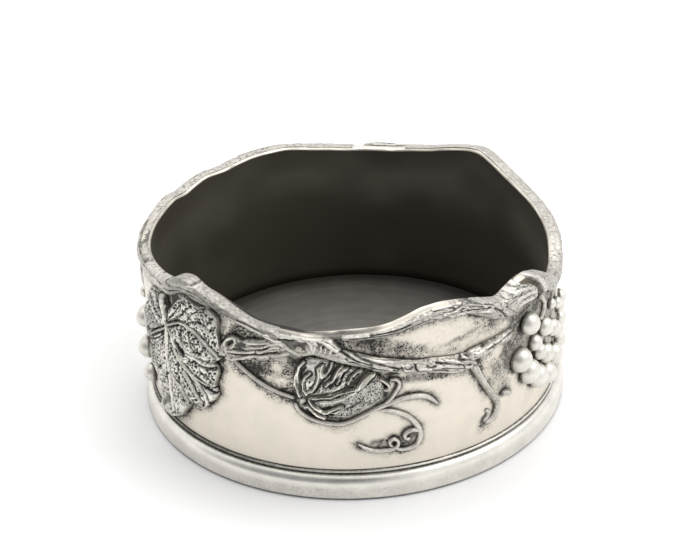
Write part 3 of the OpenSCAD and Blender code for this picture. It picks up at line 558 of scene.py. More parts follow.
LARGE_LINES = [
    (1.55, -1.9, 1.35, [(5.9, -4.0), (6.7, -4.9), (7.8, -5.6)]),
    (0.42, 0.6, -0.9, [(4.0, -2.2), (3.9, -4.8), (5.2, -7.1), (7.6, -7.9), (10, -7.3)]),
    (0.42, 0.6, -0.9, [(5.2, -1.9), (7.8, -2.7), (9.8, -4.4)]),
    (0.45, 0.5, -0.9, [(9.2, -4.1), (11.8, -4.2), (15.3, -4.2), (17.8, -3.7)]),
    (0.5, 0.5, -0.8, [(9.2, -5.4), (12.8, -5.3), (15.8, -5.7), (18.5, -5.4), (20.6, -4.6)]),
    (0.25, -0.6, 0.9, [(10.6, -4.8), (13, -4.7), (16, -4.9), (18.4, -4.6)]),
    (0.6, -0.9, 0.75, [(12.5, -6.6), (16, -7), (20, -6.1)]),
    (0.24, -0.6, 1.0, [(1.6, 1.3), (3.2, 2.6), (5.2, 4.6), (7, 6.6), (8.7, 8.6), (10.1, 10.8)]),
    (0.22, -0.6, 1.0, [(6.3, 4.3), (8, 5.2), (9.5, 6.4), (11.4, 8.8), (13.6, 10.5)]),
    (0.24, -0.6, 1.0, [(11.3, 4.3), (12.6, 5.4), (14.1, 6.2), (16.6, 6.3), (19.7, 5.3)]),
    (0.2, -0.5, 0.9, [(11.6, 5.9), (13.3, 7.9), (15.4, 9.8), (17, 11)]),
    (0.18, -0.5, 0.9, [(3.4, 4.2), (5.2, 6.6), (6.8, 9.2)]), (0.18, -0.5, 0.9, [(8.2, 6.8), (9.6, 8.6), (11, 10.6)]),
    (0.18, -0.5, 0.9, [(14.6, 7.2), (17, 7.8), (19.4, 7.4)]), (0.2, -0.5, 0.9, [(14, 8.6), (16.6, 9.8), (18.8, 9.6)]),
    (0.4, 0.4, -0.7, [(5.8, 4.2), (8.4, 6.6), (10.4, 9.4)]), (0.4, 0.4, -0.7, [(9.6, 5.2), (11.6, 7.4), (13.8, 9.6)]),
    (0.4, 0.4, -0.8, [(12.6, 4.3), (14.8, 5.2), (17.2, 5.3), (19.6, 4.3)]),
    (0.35, 0.35, -0.7, [(13.8, 7.2), (16, 8.6), (18.6, 8.5)]),
    (0.45, -0.8, 1.0, [(-3.9, 9.6), (-2.6, 7.8), (-2, 5.6), (-1.3, 3.4), (-0.3, 0.6)]),
    (0.3, 0.4, -0.8, [(-4.9, 10), (-3.6, 8), (-3, 5.6), (-2.1, 3)]),
    (0.2, -0.5, 0.9, [(-6.4, 6), (-4.4, 3.4), (-1.8, 0.4)]), (0.2, -0.5, 0.9, [(-9.6, 1.6), (-6.4, -0.4), (-2.6, -1.9)]),
    (0.3, 0.4, -0.8, [(-8.4, 3.6), (-5.2, 1.4), (-2, -0.6)]),
    (0.24, -0.6, 1.0, [(-12.6, -11.1), (-8.6, -9.4), (-4, -6.6), (-1, -4)]),
    (0.22, -0.5, 0.9, [(-13.2, -8.4), (-9.4, -6.8), (-5, -4.4)]),
    # The next three lines only darken, without rise: painted shade along the top of the leaf, where it lies under the
    # rim vine, a darker band at the top right, and painted shade over the left part of the leaf.
    (2.4, 0.0, 0.5, [(3, 11), (8, 12.3), (14, 12.8), (18, 11)]),
    (1.6, 0.0, 0.4, [(16.5, 9.6), (20, 8.4), (21, 6)]),
    (4.2, 0.0, 0.5, [(-9.5, -14.5), (-11, -6), (-7, -1), (-3, 6)]),
    (1.1, -0.6, 0.65, [(-6.2, -29), (-4, -27), (-1.6, -25)])]
print("large leaf:", len(LARGE_OUTLINE), "outline points,", len(LARGE_RIDGES), "ridges")

# %% Drawings of the small leaf
SMALL_OUTLINE = [
    (-10.7, -1.8), (-11.3, 0.7), (-11.8, 3.1), (-11.7, 4.8), (-11, 6.7), (-10.7, 8.2), (-9.1, 9.8), (-7, 10.6),
    (-4.4, 10.3), (-0.9, 9.2), (1.4, 8), (3.2, 7.9), (6.2, 6.8), (8.8, 6.1), (9.5, 4.8), (10.5, 2.5),
    (10.9, -0.3), (10.4, -2.3), (8.7, -3.6), (5.8, -4.5), (0.9, -7.5), (-1.6, -8), (-4.3, -7.8), (-6.7, -7),
    (-8.7, -5.4), (-10.6, -3.5)]
SMALL_MIDDLE = (-1.0, 0.6)
SMALL_RIDGES = [
    [(-10.3, -1.2), (-11.1, 0.9), (-11.4, 3.1), (-11.3, 4.8), (-10.6, 6.2)],
    [(-10.5, 2.8), (-10.4, 5.5), (-10.1, 7.7), (-8.9, 9.1)],
    [(-8.5, -0.5), (-9.3, 0.9), (-9.5, 2.9), (-8.8, 4.7), (-7.6, 5.8)],
    [(-8.3, 0), (-6.8, 1.1), (-5.7, 3.2), (-5.2, 5.2), (-5.4, 7.2), (-4.2, 8.4), (-4.7, 6.7), (-4.4, 5),
     (-3.3, 5.8), (-2.2, 7.8), (-1.8, 9.2)],
    [(-3.7, 2.3), (-2.2, 3.8), (-0.5, 5.8), (1.2, 7.5)],
    [(4.4, 1.4), (5, 3), (6.1, 4.4), (7.5, 5.6), (8.6, 5.9), (8, 5), (6.9, 3.8), (5.8, 2.7), (4.4, 1.4)],
    [(2, 3.1), (2.2, 3.8), (3.1, 5.3), (4.3, 6.5), (5.5, 7)],
    [(-0.8, 3.1), (0.1, 5.4), (0.9, 7.3), (2, 7.9)],
    [(-2, 3.6), (-1.2, 5.4), (-0.3, 7.3), (0.6, 8.4)],
    [(-7.5, -2), (-5.2, -1.5), (-2.8, -1.2), (-0.3, -0.1), (2.1, 0.9), (4.4, 1.4)],
    [(-8.2, -2.3), (-7, -4.2), (-5.2, -5.6), (-4, -5.8), (-2.7, -5.2), (-0.8, -4.2), (0.2, -3.9)],
    [(-9.5, -4.4), (-8.5, -4.1), (-7.3, -5.2), (-5.9, -6.6), (-4.2, -7.3)]]
SMALL_GROOVES = [
    [(-7.9, -0.5), (-6.4, 0.4), (-5.3, 2.2), (-4.4, 3.7), (-3.1, 5.3), (-1.4, 7), (0, 8.3)],
    [(-2.7, 1.6), (-1.2, 3.3), (0.5, 5.3), (1.3, 6.5)],
    [(-7.6, -2.5), (-6.2, -4.1), (-4.6, -4.8), (-2.9, -4.2)],
    [(-8.9, -3.3), (-7.4, -4.5), (-5.8, -5.9), (-4, -6.5), (-2.1, -6.5)],
    [(-3.4, -7.4), (-1.6, -7.7), (0.8, -7.4)],
    [(-9.6, 0.2), (-10.4, 2.9), (-9.9, 5.4), (-8.6, 7.4)]]
SMALL_HOLLOWS = [
    ([(-8.6, -1.8), (-6.9, -1.4), (-4.4, -1), (-2.3, -0.2), (-0.3, 0.6), (2, 2.1), (3.6, 3.3), (5.1, 4.9),
      (6.8, 6.4)], 0.45, 1.0)]
SMALL_SMOOTH = [(-6.8, 7.2, 1.6), (-9.9, -2.6, 0.8)]
SMALL_LINES = [
    (0.75, -0.4, 0.85, [(-9.1, -1.8), (-4.8, -0.9), (-0.7, 0.3), (3.8, 3.0), (7.5, 6.0), (9.3, 6.9)]),
    (0.7, 0.3, -0.45, [(-3.8, 8.5), (-4.5, 6.5), (-6.1, 4.0), (-7.6, 2.2)]),
    (0.75, 0.35, -0.5, [(-8.5, 3.8), (-8.3, 1.3), (-6.9, 1.2), (-5.3, 3.8), (-4.1, 6.8)]),
    (0.7, 0.4, -0.5, [(8, 5.7), (5.9, 3.9), (4.1, 2.0)]), (0.4, 0.3, -0.7, [(3, 4.1), (0.7, 3.1), (-1.4, 0.9), (-3.1, -0.8)]),
    (0.42, 0.35, -0.75, [(5.6, 2.3), (2, -0.8), (-1.8, -2.5), (-4.9, -2.7)]),
    (0.4, 0.3, -0.7, [(-6.4, -3.8), (-4.6, -5.4), (-1.9, -5.9), (0.9, -4.4)]),
    (0.45, 0.3, -0.6, [(-10.2, 7.5), (-10.6, 4.7), (-10.3, 1.4), (-9.3, -1.3)]),
    (0.24, -0.4, 0.9, [(1.6, 6.6), (2.8, 5.4), (3.4, 4.4)]), (0.24, -0.4, 0.9, [(-2.4, 6.4), (-2.2, 4.6), (-3.2, 3)]),
    (0.26, -0.4, 0.9, [(5, -2.4), (2.2, -4.2), (-0.6, -5.2)])]
print("small leaf:", len(SMALL_OUTLINE), "outline points,", len(SMALL_RIDGES), "ridges")


# %% Cast surface
def casting(place, drawing, seed, rays, rings, size=1.0, top=None, ground=1.0, up=0.8, down=0.9, most=2.2,
            bulge=0.0, pits=0.0, crests=0.0, swells=0.1, grey=0.2, dots=0.5, curl=0.45):
    """Grid of a casting with an outline, and its marks. A ray at an angle reaches the outline at a length looked
    up in the polar outline, and a place on it is that length times a share. The height is a low dome, plus a
    bell for each ridge, less a bell for each groove and hollow, less pits, plus the drawn lines, and it
    falls at the edge as a quarter circle."""
    outline, middle = drawing["outline"], drawing["middle"]
    d = np.array(outline) - middle
    angle = np.unwrap(np.arctan2(d[:, 1], d[:, 0]))
    reach = np.hypot(d[:, 0], d[:, 1])
    if angle[-1] < angle[0]:
        angle, reach = angle[::-1], reach[::-1]
    angle = np.maximum.accumulate(angle + 1e-4 * np.arange(len(angle)))
    span = angle[0] + np.linspace(0, 2 * np.pi, rays, endpoint=False)
    far = np.interp(span, np.append(angle, angle[0] + 2 * np.pi), np.append(reach, reach[0]))
    far = far + 0.18 * soft_noise(span * 12, 0 * span, 1.0, seed + 9, around=64)
    share = np.concatenate([np.linspace(0.012, 1, rings), [1.0, 0.995, 0.97, 0.8, 0.4, 0.02]])
    x = middle[0] + far[None] * np.cos(span)[None] * share[:, None]
    y = middle[1] + far[None] * np.sin(span)[None] * share[:, None]
    edge = far[None] * (1 - share[:, None])
    line = lambda strokes, wide: np.max([0 * x] + [bell(line_distance(x, y, s), wide) for s in strokes], 0)
    ridges = drawing.get("ridges", [])
    ridge, groove = line(ridges, 0.27), line(drawing.get("grooves", []), 0.32)
    vein = np.min([0 * x + 9] + [line_distance(x, y, s) for s in ridges], 0)
    hollow = np.max([0 * x] + [deep * bell(line_distance(x, y, s), wide)
                               for s, wide, deep in drawing.get("hollows", [])], 0)
    calm = np.max([0 * x] + [bell(np.hypot(x - a, y - b), r) for a, b, r in drawing.get("smooth", [])], 0)
    turn, high = place[0] + x * size / DEG, place[1] + y * size
    rise, black, bright = drawn(turn, high, drawing.get("cords", []))
    if "lines" in drawing:
        rise, black, bright = drawn(x / DEG, y, [(w, up, dark, [(a / DEG, b) for a, b in points])
                                                 for w, up, dark, points in drawing["lines"]])
    first, second, tone = cell_noise(x + 60, y + 60, 0.84, seed)
    swell = soft_noise(x + 60, y + 60, 4.5, seed + 1) + 0.5 * soft_noise(x + 60, y + 60, 1.9, seed + 2)
    rib = np.abs(soft_noise(x + 60, y + 60, 1.7, seed + 3))
    pit = ramp(0.5, 0.3, first) * (tone > 0.25) * (1 - calm) * (1 - ridge) * ramp(0.2, 0.6, edge) * min(pits * 3, 1)
    crest = ramp(0.2, 0.0, rib) * (1 - calm) * (crests > 0)
    dome = ramp(0.15, 1.9, vein) * ramp(0.2, 1.4, edge)
    height = (ground + bulge * dome + swells * swell + up * ridge - down * groove
              - 1.5 * down * hollow - pits * pit + crests * crest + 0.3 * bell(edge - 0.6, 0.4) * (bulge > 0) + rise)
    height = np.clip(height, 0.3, most)
    roll = np.sqrt(1 - (1 - np.clip(edge / curl, 0, 1)) ** 2)
    off = 0.15 * height + 0.85 * height * roll
    behind = np.arange(len(share)) >= rings
    off[behind] = np.array([0.08, 0.03, 0, 0, 0, 0])[:, None]
    high = np.clip(high, RING_TOP + FIT_GAP, top(turn) if top else 99)
    P = on_wall(turn, high, SOLDER + off)
    deep = np.clip(hollow_depth(P, 2) / 0.14, 0, 1)
    side = ramp(0.3, 0.0, edge)
    tarnish = np.maximum.reduce([1.1 * groove, 1.2 * hollow, 0.9 * pit, 0.65 * deep, 0.5 * side, 0.85 * black, grey + 0 * x,
                                 1.05 * bell(vein - 0.66, 0.34) * (1 - ridge), 0.3 * ramp(0, -1.2, swell) * (1 - calm)])
    tarnish = np.clip(tarnish - 0.7 * ridge - 0.6 * bright, 0, 1)
    brown = np.clip(0.5 * hollow + 0.2 * deep, 0, 1)
    polish = np.clip(0.8 * ridge + 0.6 * crest + 0.6 * calm + 0.7 * bright, 0, 1)
    marks = {"tarnish": with_poles(tarnish), "dots": with_poles(np.clip(dots * (1 - calm) * (1 - ridge) - bright, 0, 1)),
             "polish": with_poles(polish), "brown": with_poles(brown)}
    points, faces = grid_mesh(P)
    return points, faces, marks


LARGE = {"outline": LARGE_OUTLINE, "middle": LARGE_MIDDLE, "ridges": LARGE_RIDGES, "grooves": LARGE_GROOVES,
         "hollows": LARGE_HOLLOWS, "smooth": LARGE_SMOOTH, "lines": LARGE_LINES}
SMALL = {"outline": SMALL_OUTLINE, "middle": SMALL_MIDDLE, "ridges": SMALL_RIDGES, "grooves": SMALL_GROOVES,
         "hollows": SMALL_HOLLOWS, "smooth": SMALL_SMOOTH, "lines": SMALL_LINES}


def under_rim(turn):
    """Highest place of a leaf below the vine along the rim."""
    return rim_z(turn) - 2 * rim_vine(turn)[0] - FIT_GAP


def under_cross(shift):
    """Highest place of a small leaf below the cross vine, as a function of turn."""
    path, _ = eased(cross_rows(shift), 1.0)
    return lambda turn: np.interp(turn, path[:, 0], path[:, 1] - path[:, 2] - FIT_GAP)



def below_rim(turn):
    """Highest place of the knot, just under the edge of the rim."""
    return rim_z(turn) - 0.25


print("cast surfaces ready")

# %% [markdown]
# ## The knot and the branch
#
# Where the vine leaves the rim there is a knot like a half-shut eye: two lids round a small ball, a thick
# bridge of bark down from the rim, and three claws that grip the vine. To its left a side branch is a bundle
# of cords that fan out from a knot hole. No random bark gives that, so each line of them is listed, as
# half width, rise, black and then turn and height along it.

# %% Drawings of the knot and the branch
KNOT_AT, BRANCH_AT = (-12.5, 46.8), (-24.5, 42.9)
KNOT_EDGE = [
    (-22.5, 48.6), (-20, 49.4), (-18, 49.8), (-13, 50), (-9, 50.2), (-6.5, 49.5), (-4.5, 47.6), (-3, 45.5),
    (-3.5, 44.2), (-5, 43.7), (-7, 43.8), (-9, 43.9), (-11, 43.7), (-13, 43.6), (-15, 44.2), (-17, 45.3),
    (-19.5, 46.9)]
KNOT_CORDS = [
    (0.55, 0.75, -0.7, [(-22.4, 48.4), (-20, 47.8), (-17.9, 46.7), (-16.3, 45.7), (-14.9, 44.8), (-13.5, 44.2),
                        (-12.1, 44.2), (-10.4, 44.8), (-9.3, 45.4)]),
    (1.3, -0.7, 0.7, [(-16.2, 46.9), (-13.2, 46.3), (-11.8, 46.4)]),
    (0.32, -0.7, 1.0, [(-20, 48.2), (-17.6, 47.7), (-15.4, 47.4), (-14, 48.2), (-12.6, 48.4), (-11.5, 48.1),
                       (-10.8, 47.0), (-10.5, 46)]),
    (0.7, 0.95, -0.9, [(-13.4, 45.6), (-12.9, 45.6)]),
    (0.7, 0.85, -1.0, [(-14.6, 50.2), (-12.4, 49.3), (-10.7, 48.1), (-10, 46.6), (-10.6, 45.3)]),
    (0.75, 0.95, -1.0, [(-12.9, 50.4), (-11, 49.5), (-9.4, 48.3), (-8.9, 46.8), (-9.6, 45.2)]),
    (0.7, 0.85, -1.0, [(-11, 50.4), (-9.3, 49.7), (-7.6, 48.4), (-5.8, 47), (-4.2, 45.6)]),
    (0.5, 0.4, -0.6, [(-9, 50.2), (-7.2, 49.3), (-5.4, 47.9), (-3.9, 46.4)]),
    (0.16, -0.35, 0.8, [(-12.4, 49.8), (-10.4, 48.6), (-9, 47.2)]),
    (0.5, 0.95, -1.0, [(-7.8, 46.9), (-7.7, 46), (-8.5, 44.8)]),
    (0.48, 0.95, -1.0, [(-6.6, 46.3), (-6.6, 45.5), (-7.5, 44.4)]),
    (0.46, 0.9, -1.0, [(-5.5, 45.7), (-5.7, 44.9), (-6.6, 44)]),
    (0.26, -0.7, 1.0, [(-8.8, 47.1), (-8.6, 46.3), (-8.9, 45.2)]),
    (0.24, -0.6, 1.0, [(-7.3, 46.6), (-7.2, 45.8), (-7.8, 44.8)]),
    (0.24, -0.6, 1.0, [(-6.3, 46.4), (-6.4, 45.5), (-7.0, 44.5)]),
    (0.22, -0.5, 0.9, [(-7.6, 49.0), (-5.4, 47.3), (-3.9, 46.0)]),
    (0.45, 0.45, -0.7, [(-8.2, 48.9), (-6.1, 48.2), (-4.2, 46.9), (-2.9, 45.9)]),
    (0.22, -0.4, 0.8, [(-19, 46.6), (-17, 45.4), (-15.2, 44.4)])]
BRANCH_EDGE = [
    (-34.8, 39.5), (-33.7, 38.5), (-31.6, 37.9), (-29.7, 38.8), (-27.8, 39.4), (-25, 40.7), (-20.7, 41.6),
    (-17, 42.5), (-14.6, 43.7), (-15.2, 45.4), (-18.3, 46.8), (-21, 46.8), (-23.5, 46.2), (-26, 45.8),
    (-28.3, 44.9), (-29.8, 45.8), (-31.5, 45.7), (-33.4, 44.3), (-34.5, 42.5), (-35.2, 41)]
BRANCH_CORDS = [
    (0.5, 0.75, -0.9, [(-31.6, 38.6), (-29.7, 39.5), (-27.8, 40.2), (-26.4, 41), (-25, 41.5), (-23, 41.8),
                       (-20.7, 42.4), (-18.3, 43), (-15.9, 44)]),
    (0.45, 0.7, -0.85, [(-32, 41), (-29.7, 41.5), (-26.8, 42), (-25, 42.8), (-23, 43), (-21.6, 43.8),
                        (-20.2, 44.8), (-18.3, 45.3)]),
    (0.42, 0.65, -0.8, [(-27.3, 43.1), (-25.4, 43.6), (-23, 44.3), (-21.2, 45.3), (-19.7, 46), (-18.6, 46.3)]),
    (0.4, 0.5, -0.7, [(-26.4, 44.9), (-23, 45.4), (-20.7, 46.1)]),
    (0.36, 0.6, -0.8, [(-21.2, 43.8), (-19.3, 44.2), (-17.4, 44.9), (-16.2, 45.2)]),
    (0.26, -0.75, 1.0, [(-31.8, 41.9), (-30.5, 42.1), (-29.2, 42.0), (-27, 42.8)]),
    (0.24, -0.7, 1.0, [(-32.5, 40.3), (-30.4, 40.4), (-28.7, 40.7), (-27, 41.3), (-25, 42.1), (-23, 42.4),
                       (-20.9, 43.1), (-18.5, 43.7)]),
    (0.2, -0.5, 1.0, [(-26.4, 43.2), (-24.4, 43.5), (-22.4, 43.9), (-21, 44.6)]),
    (0.2, -0.5, 0.9, [(-25.6, 44.4), (-23.6, 44.8), (-21.4, 45.6)]),
    (0.52, -1.1, 1.0, [(-32.6, 42.5), (-31.7, 43.5), (-30.8, 44.3)]),
    (0.42, 0.6, -0.9, [(-32.9, 41.7), (-33.4, 42.9), (-32.4, 44.3), (-31, 45.3)]),
    (0.4, 0.6, -0.9, [(-30.2, 45.2), (-30, 44), (-30.7, 42.8), (-31.7, 41.8)]),
    (1.0, -0.6, 0.8, [(-29.4, 43.1), (-28.2, 43.8)]),
    (0.7, 0.6, -0.7, [(-34.4, 40.2), (-33.9, 39.5)]),
    (0.6, 0.6, -0.7, [(-32.9, 38.7), (-31.9, 38.8)]),
    (0.2, -0.5, 0.9, [(-29.4, 40), (-29.2, 39.2)]), (0.2, -0.5, 0.9, [(-26.3, 41.5), (-26, 40.8)]),
    (0.2, -0.5, 0.9, [(-23.8, 42), (-23.6, 41.4)]), (0.2, -0.5, 0.9, [(-20.6, 42.8), (-20.4, 42)]),
    (0.2, -0.5, 0.9, [(-28.3, 42.2), (-28, 41.4)]), (0.2, -0.5, 0.9, [(-24.4, 43.3), (-24.2, 42.6)]),
    (0.2, -0.5, 0.9, [(-18, 44.9), (-17.8, 44.2)]), (0.2, -0.5, 0.9, [(-22.2, 45.2), (-22, 44.6)])]


def flat_edge(edge, place):
    """An outline given in turn and height, in millimetres from a place."""
    return [((t - place[0]) * DEG, h - place[1]) for t, h in edge]


def hand_drawn(edge, cords, place, turn):
    """The drawing for a casting whose lines are in turn and height."""
    return {"outline": flat_edge(edge, place), "middle": (0.0, 0.0), "cords": moved(cords, turn)}


print("knot:", len(KNOT_CORDS), "lines, branch:", len(BRANCH_CORDS), "lines")

# %% [markdown]
# ## Grapes
#
# A grape is a smooth ball set into the wall, and the bunch is read from the black crevices between the balls.
# Each one here is a cap of a slightly uneven sphere. The dark is measured, not painted by hand: it grows where
# the surface of a grape comes close to its neighbours or to the wall.

# %% Grape tables and surface
RIGHT_GRAPES = np.array([
    [51.4, 0.755, 0.92], [47.7, 0.568, 1.01], [51.8, 0.455, 1.03], [56.4, 0.374, 1], [62.9, 0.316, 0.94],
    [54.6, 0.604, 0.67], [57.2, 0.52, 0.7], [60.2, 0.644, 0.79], [61.6, 0.46, 0.83], [66.4, 0.568, 0.74],
    [69.2, 0.368, 0.88], [71.6, 0.664, 0.5], [72.2, 0.488, 0.72], [76.8, 0.584, 0.56],
    [76.6, 0.372, 0.76], [79.6, 0.476, 0.7], [65.4, 0.728, 0.45], [83, 0.572, 0.65]])
LEFT_GRAPES = np.array([
    [-84, 0.524, 0.86], [-82.6, 0.344, 0.94], [-75.6, 0.26, 0.79], [-90.5, 0.62, 0.55],
    [-90, 0.472, 0.91], [-89.2, 0.288, 0.88], [-97.5, 0.68, 0.45], [-96.5, 0.555, 0.6],
    [-95.6, 0.388, 0.94], [-95.4, 0.236, 0.7], [-102, 0.652, 0.91], [-102.2, 0.484, 0.94],
    [-101.6, 0.316, 0.85], [-101.8, 0.804, 0.73], [-108.2, 0.572, 0.85], [-108.2, 0.408, 0.82],
    [-108, 0.728, 0.76], [-113.8, 0.492, 0.73], [-113.6, 0.644, 0.73]])
GRAPE_D, GRAPE_OFF = 7.0, 0.4


def grapes(table, seed):
    """Caps of spheres. A row is at an angle from the outward pole, and the cap ends where its stand-off is
    the solder gap. A point is middle + radius (cos a outward + sin a (cos b sideways + sin b up))."""
    middles = on_wall(table[:, 0], table[:, 1] * RIM_H, GRAPE_OFF) / MM
    radii = table[:, 2] * GRAPE_D / 2
    parts = []
    for i, (middle, radius) in enumerate(zip(middles, radii)):
        t = np.radians(table[i, 0])
        out, side = np.array([np.sin(t), -np.cos(t), 0]), np.array([np.cos(t), np.sin(t), 0])
        a = np.append(np.linspace(0.05, np.arccos((SOLDER - GRAPE_OFF) / radius), 26), [1.2, 0.3])[:, None]
        b = np.linspace(0, 2 * np.pi, 40, endpoint=False)[None]
        rows = np.arange(28)[:, None] + 0 * b
        bump = 1 + 0.012 * soft_noise(a * 3 + i, b * 40 / (2 * np.pi) / 5, 1.0, seed + i, around=8)
        forward = np.where(rows < 26, radius * np.cos(a), SOLDER - GRAPE_OFF)
        wide = radius * np.sin(a) * np.where(rows < 26, bump, 1)
        P = (middle + forward[..., None] * out + (wide * np.cos(b))[..., None] * side
             + (wide * np.sin(b))[..., None] * np.array([0, 0, 1.0]))
        others = np.arange(len(radii)) != i
        gap = (np.linalg.norm(P[:, :, None] - middles[others], axis=-1) - radii[others]).min(-1)
        pit = bell(np.hypot(a * radius * np.cos(b) - 0.9, a * radius * np.sin(b) + 0.5), 0.28) * (i % 4 == 1)
        low = 0.65 * ramp(0.9, 0.0, forward)
        tarnish = np.maximum.reduce([0.9 * ramp(0.7, 0.0, gap), low + 0 * gap, pit, 0.14 + 0 * gap])
        points, faces = grid_mesh(P * MM)
        marks = {"tarnish": with_poles(tarnish), "dots": with_poles(0 * gap + 0.12),
                 "polish": with_poles(ramp(0.3, 1.2, gap)), "brown": with_poles(0.85 + 0 * gap)}
        parts.append((points, faces, marks))
    return joined(parts)


print(len(RIGHT_GRAPES), "grapes on the right and", len(LEFT_GRAPES), "on the left")

# %% [markdown]
# ## Turned parts
#
# The foot ring, the floor disc and the felt pad are round, so each is a profile carried once round the middle.
# The ring was turned and polished: a face, a round shoulder, a slope and a bead under the wall. Black stayed
# in the two grooves beside the bead. The profile is re-spaced evenly so that its arcs stay smooth.

# %% Turned surface
def respaced(profile, step):
    """A closed profile with its places about step mm apart."""
    profile = np.array(profile + profile[:1], float)
    length = np.concatenate([[0], np.cumsum(np.hypot(*np.diff(profile, axis=0).T))])
    even = np.linspace(0, length[-1], int(length[-1] / step) + 1)[:-1]
    return np.stack([np.interp(even, length, profile[:, k]) for k in (0, 1)], -1)


def turned(profile, columns):
    """A profile (radius, height) carried round: (r sin t, -r cos t, z)."""
    t = np.linspace(0, 2 * np.pi, columns, endpoint=False)[:, None]
    r, z = profile[:, 0][None], profile[:, 1][None]
    return np.stack([r * np.sin(t), -r * np.cos(t), z + 0 * t], -1) * MM


def arc(middle, radius, start, stop, steps=10):
    """Points of an arc between two angles in degrees."""
    a = np.radians(np.linspace(start, stop, steps))
    return [(middle[0] + radius * math.cos(v), middle[1] + radius * math.sin(v)) for v in a]


quarter = np.radians(np.linspace(4, 86, 24))
ROUND = [(58.9 + 2.59 * math.cos(v) ** 0.85, 3.0 + 4.1 * math.sin(v) ** 0.85) for v in quarter]
RING_PROFILE = ([(52, 0.4), (60.9, 0.4)] + arc((60.99, 0.9), 0.5, -80, 0, 5) + ROUND + [(59.25, 7.25)]
                + arc((59.1, 7.75), 0.45, -60, 70, 8) + [(59.05, 8.3), (59, 8.4), (59, 2.4), (52, 2.4)])
ring_profile = respaced(RING_PROFILE, 0.16)
P = turned(ring_profile, 460)
r, z = (0 * P[..., 0] + ring_profile[:, k][None] for k in (0, 1))
t = np.degrees(np.arctan2(P[..., 0], -P[..., 1]))
wave = soft_noise((t + 180) / 360 * 256, z, 4.0, 51, around=64)
worn = 0.72 + 0.28 * np.cos(np.radians(t + 45)) + 0.12 * wave
groove = np.maximum(bell(z - 7.2, 0.26) * (r > 59), ramp(7.95, 8.25, z) * (r > 58.9)) * worn
groove = np.maximum(groove, (r > 59) * ramp(7.0, 7.2, z) * (0.15 + 0.5 * np.exp(-(wrapped(t + 50) / 40) ** 2)))
# The lower face is painted darker, a little all round and most at the front: painted reflection of the shaded floor
# just in front of it.
painted_face_reflection = (0.1 + 0.14 * np.exp(-(wrapped(t + 12) / 38) ** 2)) * ramp(5.2, 3.2, z) * (r > 60)
tarnish = np.maximum.reduce([groove * 0.95, ramp(0.8, 0.42, z) * 0.9, painted_face_reflection])
points, faces = grid_mesh(P, ring=True)
ring_marks = {"tarnish": tarnish.ravel(), "dots": np.clip(0.1 + 0.5 * groove, 0, 1).ravel(),
              "polish": ((1 - groove) * 0.8).ravel(), "brown": (0.3 * groove).ravel()}
foot = make_piece("foot_ring_turned", "foot_ring", "ring_pewter", points, faces, ring_marks)

# %% Floor and felt
def disc(radius, low, high, lip, rows=70, columns=360):
    """Rows from the middle of the top out to a rounded edge and back underneath to the middle."""
    top = np.linspace(0.3, radius - lip, rows)
    a = np.linspace(np.pi / 2, -np.pi / 2, 7)[1:-1]
    r = np.concatenate([top, radius - lip + lip * np.cos(a), top[::-1]])
    middle = (low + high) / 2
    z = np.concatenate([0 * top + high, middle + (high - low) / 2 * np.sin(a), 0 * top + low])
    t = np.linspace(0, 2 * np.pi, columns, endpoint=False)[None]
    return np.stack([r[:, None] * np.sin(t), -r[:, None] * np.cos(t), z[:, None] + 0 * t], -1) * MM


P = disc(56.0, 2.4, 3.6, 0.15, rows=120)
x, y = P[..., 0] / MM + 60, P[..., 1] / MM + 60
r = np.hypot(x - 60, y - 60)
spun = soft_noise(r, 0 * r, 1.7, 61) + 0.6 * soft_noise(x, y, 7.0, 62) + 0.4 * soft_noise(x, y, 2.6, 63)
points, faces = grid_mesh(P)
floor_marks = {"tarnish": with_poles(0.5 + 0.3 * ramp(46, 56, r) + 0.035 * spun), "dots": with_poles(0 * r),
               "polish": with_poles(0 * r + 0.3), "brown": with_poles(0 * r + 0.3), "even": with_poles(0 * r + 1)}
make_piece("floor_disc_spun", "floor_disc", "floor_pewter", points, faces, floor_marks)

P = disc(51.7, 0.0, 2.4, 0.5, rows=110)
points, faces = grid_mesh(P)
make_piece("felt_pad_cut", "felt_pad", "felt", points, faces, {"fibre": np.ones(len(points))})

# %% [markdown]
# ## Castings in place
#
# All strands, leaves and grapes are made here. What stands on the back is the front's design half a turn
# further round, with its own random numbers, so that the two sides are clearly by the same hand but never
# copies of each other.

